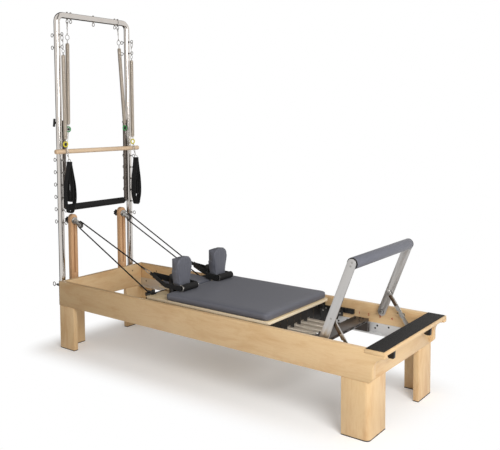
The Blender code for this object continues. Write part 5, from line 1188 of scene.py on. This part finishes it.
grip_shape = mirrored([(0, -0.0606), (0.014, -0.0606), (0.0172, -0.0598), (0.0186, -0.0575), (0.0189, -0.054)])
sleeve = [(0, -0.001), (0.004, -0.001), (0.005, 0.001), (0.0052, 0.026), (0.0042, 0.03), (0, 0.03)]
HANDLE_Y = 0.158
grip_x = HEAD_X + 0.906
grip_z = 0.4773
for side, way in SIDES:
    node = "handle_" + side
    start = Vector((HEAD_X + 0.645, way * 0.178, 0.512))
    straps = []
    for edge in (1, -1):
        y = way * (HANDLE_Y + edge * 0.0662)
        turn_x = HEAD_X + 0.826 - (0.045 if edge > 0 else 0.01)
        inner_y = way * (HANDLE_Y + edge * 0.0185)
        route = [start + Vector((0, way * edge * 0.0008, 0))]
        if edge < 0:
            route += [(HEAD_X + 0.756, inner_y, 0.4935), (HEAD_X + 0.798, inner_y, 0.4875)]
        route += [(turn_x, y, 0.4835), (turn_x + 0.03, y, 0.48), (grip_x + 0.004, y, grip_z)]
        straps.append(add_strap("strap", route, 0.027 if edge > 0 else 0.036, 0.0031, Z))
    dress(joined("handle_straps_" + side, straps), black_tape, "carriage", node, True)
    grip = add_turned("handle_grip_" + side, grip_shape, (grip_x, way * HANDLE_Y, grip_z), Y, 32)
    dress(grip, foam_skin, "carriage", node)
    rings = [add_washer("ring", 0.012, 0.0188, 0.0006, (grip_x, way * (HANDLE_Y + edge * 0.0612),
        grip_z)) for edge in (1, -1)]
    dress(joined("grip_rings_" + side, rings), bright_zinc, "carriage", node)
    clip = Vector((HEAD_X + 0.552, way * 0.178, 0.5465))
    run = (start - clip).normalized()
    dress(add_turned("rope_sleeve_" + side, sleeve, clip, run, 20), black_nylon, "carriage", node)
    tongue = [start - run * 0.022, start + run * 0.006]
    dress(add_strap("handle_tab_" + side, tongue, 0.02, 0.006, Z), black_tape, "carriage", node)
    square = Vector((-run.z, 0, run.x))
    hook = []
    for index in range(36):
        turn = math.tau * index / 36
        width = 0.0078 * (1 + 0.3 * math.cos(turn))
        hook.append(clip + run * (0.0545 + 0.026 * math.cos(turn)) + square * (width * math.sin(turn)))
    parts = [add_wire("snap_hook", hook, 0.0022, closed=True), add_rod("eye", clip + run * 0.027, clip + run * 0.0315,
        0.004, 16, 0.3)]
    dress(joined("handle_hook_" + side, parts), bright_zinc, "carriage", node)


# Spring bar
# A folded steel bar under a brown baked coat. It lies in both tracks, with a
# tab and a peg for each spring, and slots that lighten it.

brown_coat = polymer("Brown baked coat on steel", "#2B2421", "#3A312D", 0.0014, 0.0002, 0.36)
reskin("spring_bar", "spring_bar_steel", 0.0007, brown_coat, "spring_bar")
BAR_X = HEAD_X + 1.757
BAR_TOP = 0.345


def slot_outline(middle, half_length, half_width, along_first, corners=8):
    """A slot with round ends, as a list of corners."""
    outline = []
    for end in (1, -1):
        for index in range(corners + 1):
            turn = math.pi * (index / corners - 0.5) + (0 if end > 0 else math.pi)
            long = end * (half_length - half_width) + half_width * math.cos(turn)
            wide = half_width * math.sin(turn)
            step = (long, wide) if along_first else (wide, long)
            outline.append((middle[0] + step[0], middle[1] + step[1]))
    return outline


# the slots are thin dark plates on the bar's faces: painted shade in the slots
slots = []
for y in (-0.225, -0.165, -0.1, -0.035, 0.035, 0.1, 0.165, 0.225):
    slots.append(add_plate("slot", slot_outline((y, BAR_TOP - 0.0085), 0.02, 0.0032, True), "X", BAR_X + 0.0425,
        BAR_X + 0.0428))
for y in (-0.245, 0.245):
    for x in (-0.02, 0.008):
        slots.append(add_plate("slot", slot_outline((BAR_X + x, y), 0.01, 0.0035, False), "Z", BAR_TOP,
            BAR_TOP + 0.0003))
dress(joined("spring_bar_slot_shade", slots), hole_shade_and_black_oxide, "spring_bar", "spring_bar")
bolts = []
for side, way in SIDES:
    for x, y in ((-0.026, 0.262), (0.02, 0.262), (-0.003, 0.27), (0.024, 0.215)):
        bolts.append(add_screw("bolt", (BAR_X + x, way * y, BAR_TOP), Z, 0.0052, 0.0022))
dress(joined("spring_bar_bolts", bolts), black_nylon, "spring_bar", "spring_bar")


# Carriage springs
# Five close-wound springs between the carriage's pegs and those of the spring
# bar. Each is drawn in two lengths that meet where the frame stands still.

zinc_wire = metal("Zinc-plated spring wire", "#D3CABD", "#B4AA9C", 0.3, (1, 1, 1), 200)
SPRING_SPLIT = HEAD_X + 1.6
for number in range(1, 6):
    node = "carriage_spring_" + str(number)
    y = (number - 3) * 0.063
    head_peg = Vector((HEAD_X + 1.44, y, 0.327))
    bar_peg = Vector((HEAD_X + 1.7055, y, 0.324))
    coil = wound(head_peg + 0.0205 * X, bar_peg - 0.0205 * X, 0.0104, 0.0029, 2.5)
    for label, body, peg, toward, end in (("bar", "spring_bar", bar_peg, -1, coil[-1]),
            ("carriage", "carriage", head_peg, 1, coil[0])):
        if toward < 0:
            path = [spot for spot in coil if spot.x >= SPRING_SPLIT]
        else:
            path = [spot for spot in coil if spot.x <= SPRING_SPLIT + 0.0003]
        parts = [add_wire("coil", path, 0.0013, roundness=1), add_ring("eye", peg, Z, 0.0056, 0.0014, 24, 8),
            add_wire("lead", [peg + toward * Vector((0.0052, 0.002, 0)), end], 0.0014)]
        piece = dress(joined("spring_" + label + "_" + str(number), parts), zinc_wire, None, node, True)
        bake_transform(piece)


# Footbar
# Two flat bars of satin anodised aluminium, joined at the top by the core of
# the roller. They turn on shoulder bolts in the rails, and a boss on each
# carries its strut.

satin_alloy = metal("Satin anodised aluminium", "#CFCDCB", "#BAB8B6", 0.42, (1, 1, 1), 300)
LEAN = math.radians(90 - 21.5)
BASE = Vector((HEAD_X + 1.867, 0, 0.39))
UP = Vector((math.cos(LEAN), 0, math.sin(LEAN)))
TOP = BASE + UP * 0.411
reskin("footbar", "footbar_arms", 0.001, satin_alloy, "footbar")
screws = [add_screw("screw", BASE + UP * rise + way * 0.306 * Y, way * Y, 0.0048, 0.0012, 0.6) for side,
    way in SIDES for rise in (0.4175, 0.3985, 0.125)]
dress(joined("footbar_screws", screws), satin_steel, "footbar", "footbar")
pivots = [add_screw("bolt", BASE + way * 0.3001 * Y, -way * Y, 0.0092, 0.0034, 0.55, 28) for side, way in SIDES]
dress(joined("footbar_pivots", pivots), bright_zinc, "frame", "footbar")
collars = [add_washer("collar", 0.0092, 0.0128, 0.0012, BASE + way * 0.3001 * Y) for side, way in SIDES]
dress(joined("footbar_collars", collars), black_nylon, "frame", "footbar")


# Footbar roller
# A sleeve of firm foam in the same vinyl turns on the core, with a dark
# nylon washer at each end.

roller_shape = mirrored([(0.0124, -0.2962), (0.0235, -0.2962), (0.0262, -0.295), (0.0274, -0.292)])
roller = add_turned("footbar_roller", roller_shape, TOP, Y, 48)
dress(roller, grey_vinyl, "footbar", "footbar_pad", True)
washers = [add_washer("washer", 0.0124, 0.0268, 0.0015, TOP + way * 0.2979 * Y, 40) for side, way in SIDES]
dress(joined("roller_washers", washers), black_nylon, "footbar", "footbar_pad")


# Footbar struts
# A notched steel bar slides in a bronze-coated sleeve on each side. Its
# notches drop on the catch pins of the rails to set the footbar's height.

bronze_coat = metal("Bronze-coated steel", "#6A5A4B", "#54463A", 0.36)
STRUT_TOP = Vector((HEAD_X + 1.8995, 0, 0.516))
angle = math.radians(-55.7)
run = Vector((math.cos(angle), 0, math.sin(angle)))
for side, way in SIDES:
    node = "strut_" + side
    strut = reskin(node, "strut_bar_" + side, 0.0006, satin_steel, node)
    strut.data.materials.append(bronze_coat)
    for polygon in strut.data.polygons:
        depth = abs(polygon.center.y)
        if 0.018 < (polygon.center - STRUT_TOP).dot(run) < 0.088 and (depth < 0.286 or depth > 0.2921):
            polygon.material_index = 1


# Camera
# It stands at the foot end, on the near side and above the deck, where the
# photograph was taken from, and looks along the machine to the tower.

CAMERA_PLACE = (3.5038, -3.0142, 1.4355)
CAMERA_YAW = -0.648
CAMERA_PITCH = 0.066
CAMERA_ROLL = -0.0049
look = Vector((math.sin(CAMERA_YAW) * math.cos(CAMERA_PITCH), math.cos(CAMERA_YAW) * math.cos(CAMERA_PITCH),
    -math.sin(CAMERA_PITCH)))
across = look.cross(Z).normalized()
upward = across.cross(look)
right = across * math.cos(CAMERA_ROLL) + upward * math.sin(CAMERA_ROLL)
above = upward * math.cos(CAMERA_ROLL) - across * math.sin(CAMERA_ROLL)
lens = bpy.data.cameras.new("Camera")
camera = bpy.data.objects.new("Camera", lens)
bpy.context.scene.collection.objects.link(camera)
camera.matrix_world = Matrix(((right.x, above.x, -look.x, CAMERA_PLACE[0] + HEAD_X),
    (right.y, above.y, -look.y, CAMERA_PLACE[1]), (right.z, above.z, -look.z, CAMERA_PLACE[2]), (0, 0, 0, 1)))
lens.sensor_width = 36
lens.lens = 694.04 / 500 * 36
lens.shift_y = -(225 - 161.21) / 500
lens.clip_end = 60
bpy.context.scene.camera = camera


# Studio
# A pale seamless floor, a large soft key light over the near side, a weak fill
# at the foot end, and an even white surround that the camera sees as white.

pick()
bpy.ops.mesh.primitive_plane_add(size=40, location=(0, 0, 0))
floor = bpy.context.object
floor.name = "Floor"
made, tree, shader, spot = new_material("Pale seamless floor", {"Base Color": srgb("#F7F7F7"), "Roughness": 0.9,
    "Specular IOR Level": 0.1, "Emission Color": (1, 1, 1, 1)})
# the floor fades to plain white over 0.27 m outside the machine's footprint
past = calc(tree, "SUBTRACT", calc(tree, "ABSOLUTE", spot, kind="VectorMath"), (1.02, 0.33, 0), kind="VectorMath")
past = calc(tree, "MAXIMUM", past, (0, 0, 0), kind="VectorMath")
reach = add_node(tree, "VectorMath", {"operation": "LENGTH"}, {0: past}).outputs["Value"]
fade = remap(tree, reach, 0, 0.27, interpolation_type="SMOOTHSTEP")
rays = add_node(tree, "LightPath").outputs
plain = calc(tree, "MAXIMUM", rays["Is Camera Ray"], rays["Is Transmission Ray"])
seen = calc(tree, "MAXIMUM", plain, rays["Is Glossy Ray"])
# the studio's own light on the floor keeps the shadow pale
tree.links.new(calc(tree, "MULTIPLY", seen, 0.14), shader.inputs["Emission Strength"])


def reflected_room(tree, place):
    """What metal sees: a white studio with a dark opening at the head end and a grey stand at the foot end."""
    level = calc(tree, "MULTIPLY", place, (1, 1, 0), kind="VectorMath")
    way = calc(tree, "NORMALIZE", level, kind="VectorMath")
    light = 0.97
    for side, near, far, depth in (((-0.978, 0.208, 0), 0.62, 0.77, 0.92), ((0.951, -0.309, 0), 0.88, 0.97, 0.7)):
        turn = add_node(tree, "VectorMath", {"operation": "DOT_PRODUCT"}, {0: way, 1: side}).outputs["Value"]
        lobe = remap(tree, turn, near, far, 0, depth, interpolation_type="SMOOTHSTEP")
        light = calc(tree, "SUBTRACT", light, lobe)
    return light


strength = add_node(tree, "Mix", {"data_type": "FLOAT"}, {0: plain, 2: reflected_room(tree, spot), 3: 1})
white = add_node(tree, "Emission", None, {"Color": (1, 1, 1, 1), "Strength": strength.outputs[0]})
mixed = add_node(tree, "MixShader", None, {0: calc(tree, "MULTIPLY", fade, seen), 1: shader.outputs[0],
    2: white.outputs[0]})
tree.links.new(mixed.outputs[0], tree.nodes["Material Output"].inputs["Surface"])
floor.data.materials.append(made)

world = bpy.data.worlds.new("Studio surround")
bpy.context.scene.world = world
world.use_nodes = True
tree = world.node_tree
rays = add_node(tree, "LightPath").outputs
seen = calc(tree, "MAXIMUM", rays["Is Camera Ray"], rays["Is Transmission Ray"])
soft = tree.nodes["Background"]
soft.inputs["Color"].default_value = (1, 0.95, 0.9, 1)
soft.inputs["Strength"].default_value = 0.4
white = add_node(tree, "Background", None, {"Color": (1, 1, 1, 1), "Strength": 1})
room = reflected_room(tree, add_node(tree, "TexCoord").outputs["Generated"])
mirror = add_node(tree, "Background", None, {"Color": (1, 0.985, 0.97, 1), "Strength": room})
glossy = add_node(tree, "MixShader", None, {0: rays["Is Glossy Ray"], 1: soft.outputs[0], 2: mirror.outputs[0]})
mixed = add_node(tree, "MixShader", None, {0: seen, 1: glossy.outputs[0], 2: white.outputs[0]})
tree.links.new(mixed.outputs[0], tree.nodes["World Output"].inputs["Surface"])

for name, place, target, size, power in (("Key", (3.3, -1.85, 2.25), (0.3, 0, 0.4), 1.8, 108),
        ("Foot fill", (4.2, 1.2, 1.6), (0.9, 0, 0.3), 1.6, 13)):
    pick()
    bpy.ops.object.light_add(type="AREA", location=place)
    lamp = bpy.context.object
    lamp.name = name
    lamp.data.size = size
    lamp.data.energy = power
    lamp.rotation_euler = (Vector(target) - Vector(place)).to_track_quat("-Z", "Y").to_euler()
bpy.context.scene.view_settings.view_transform = "Standard"
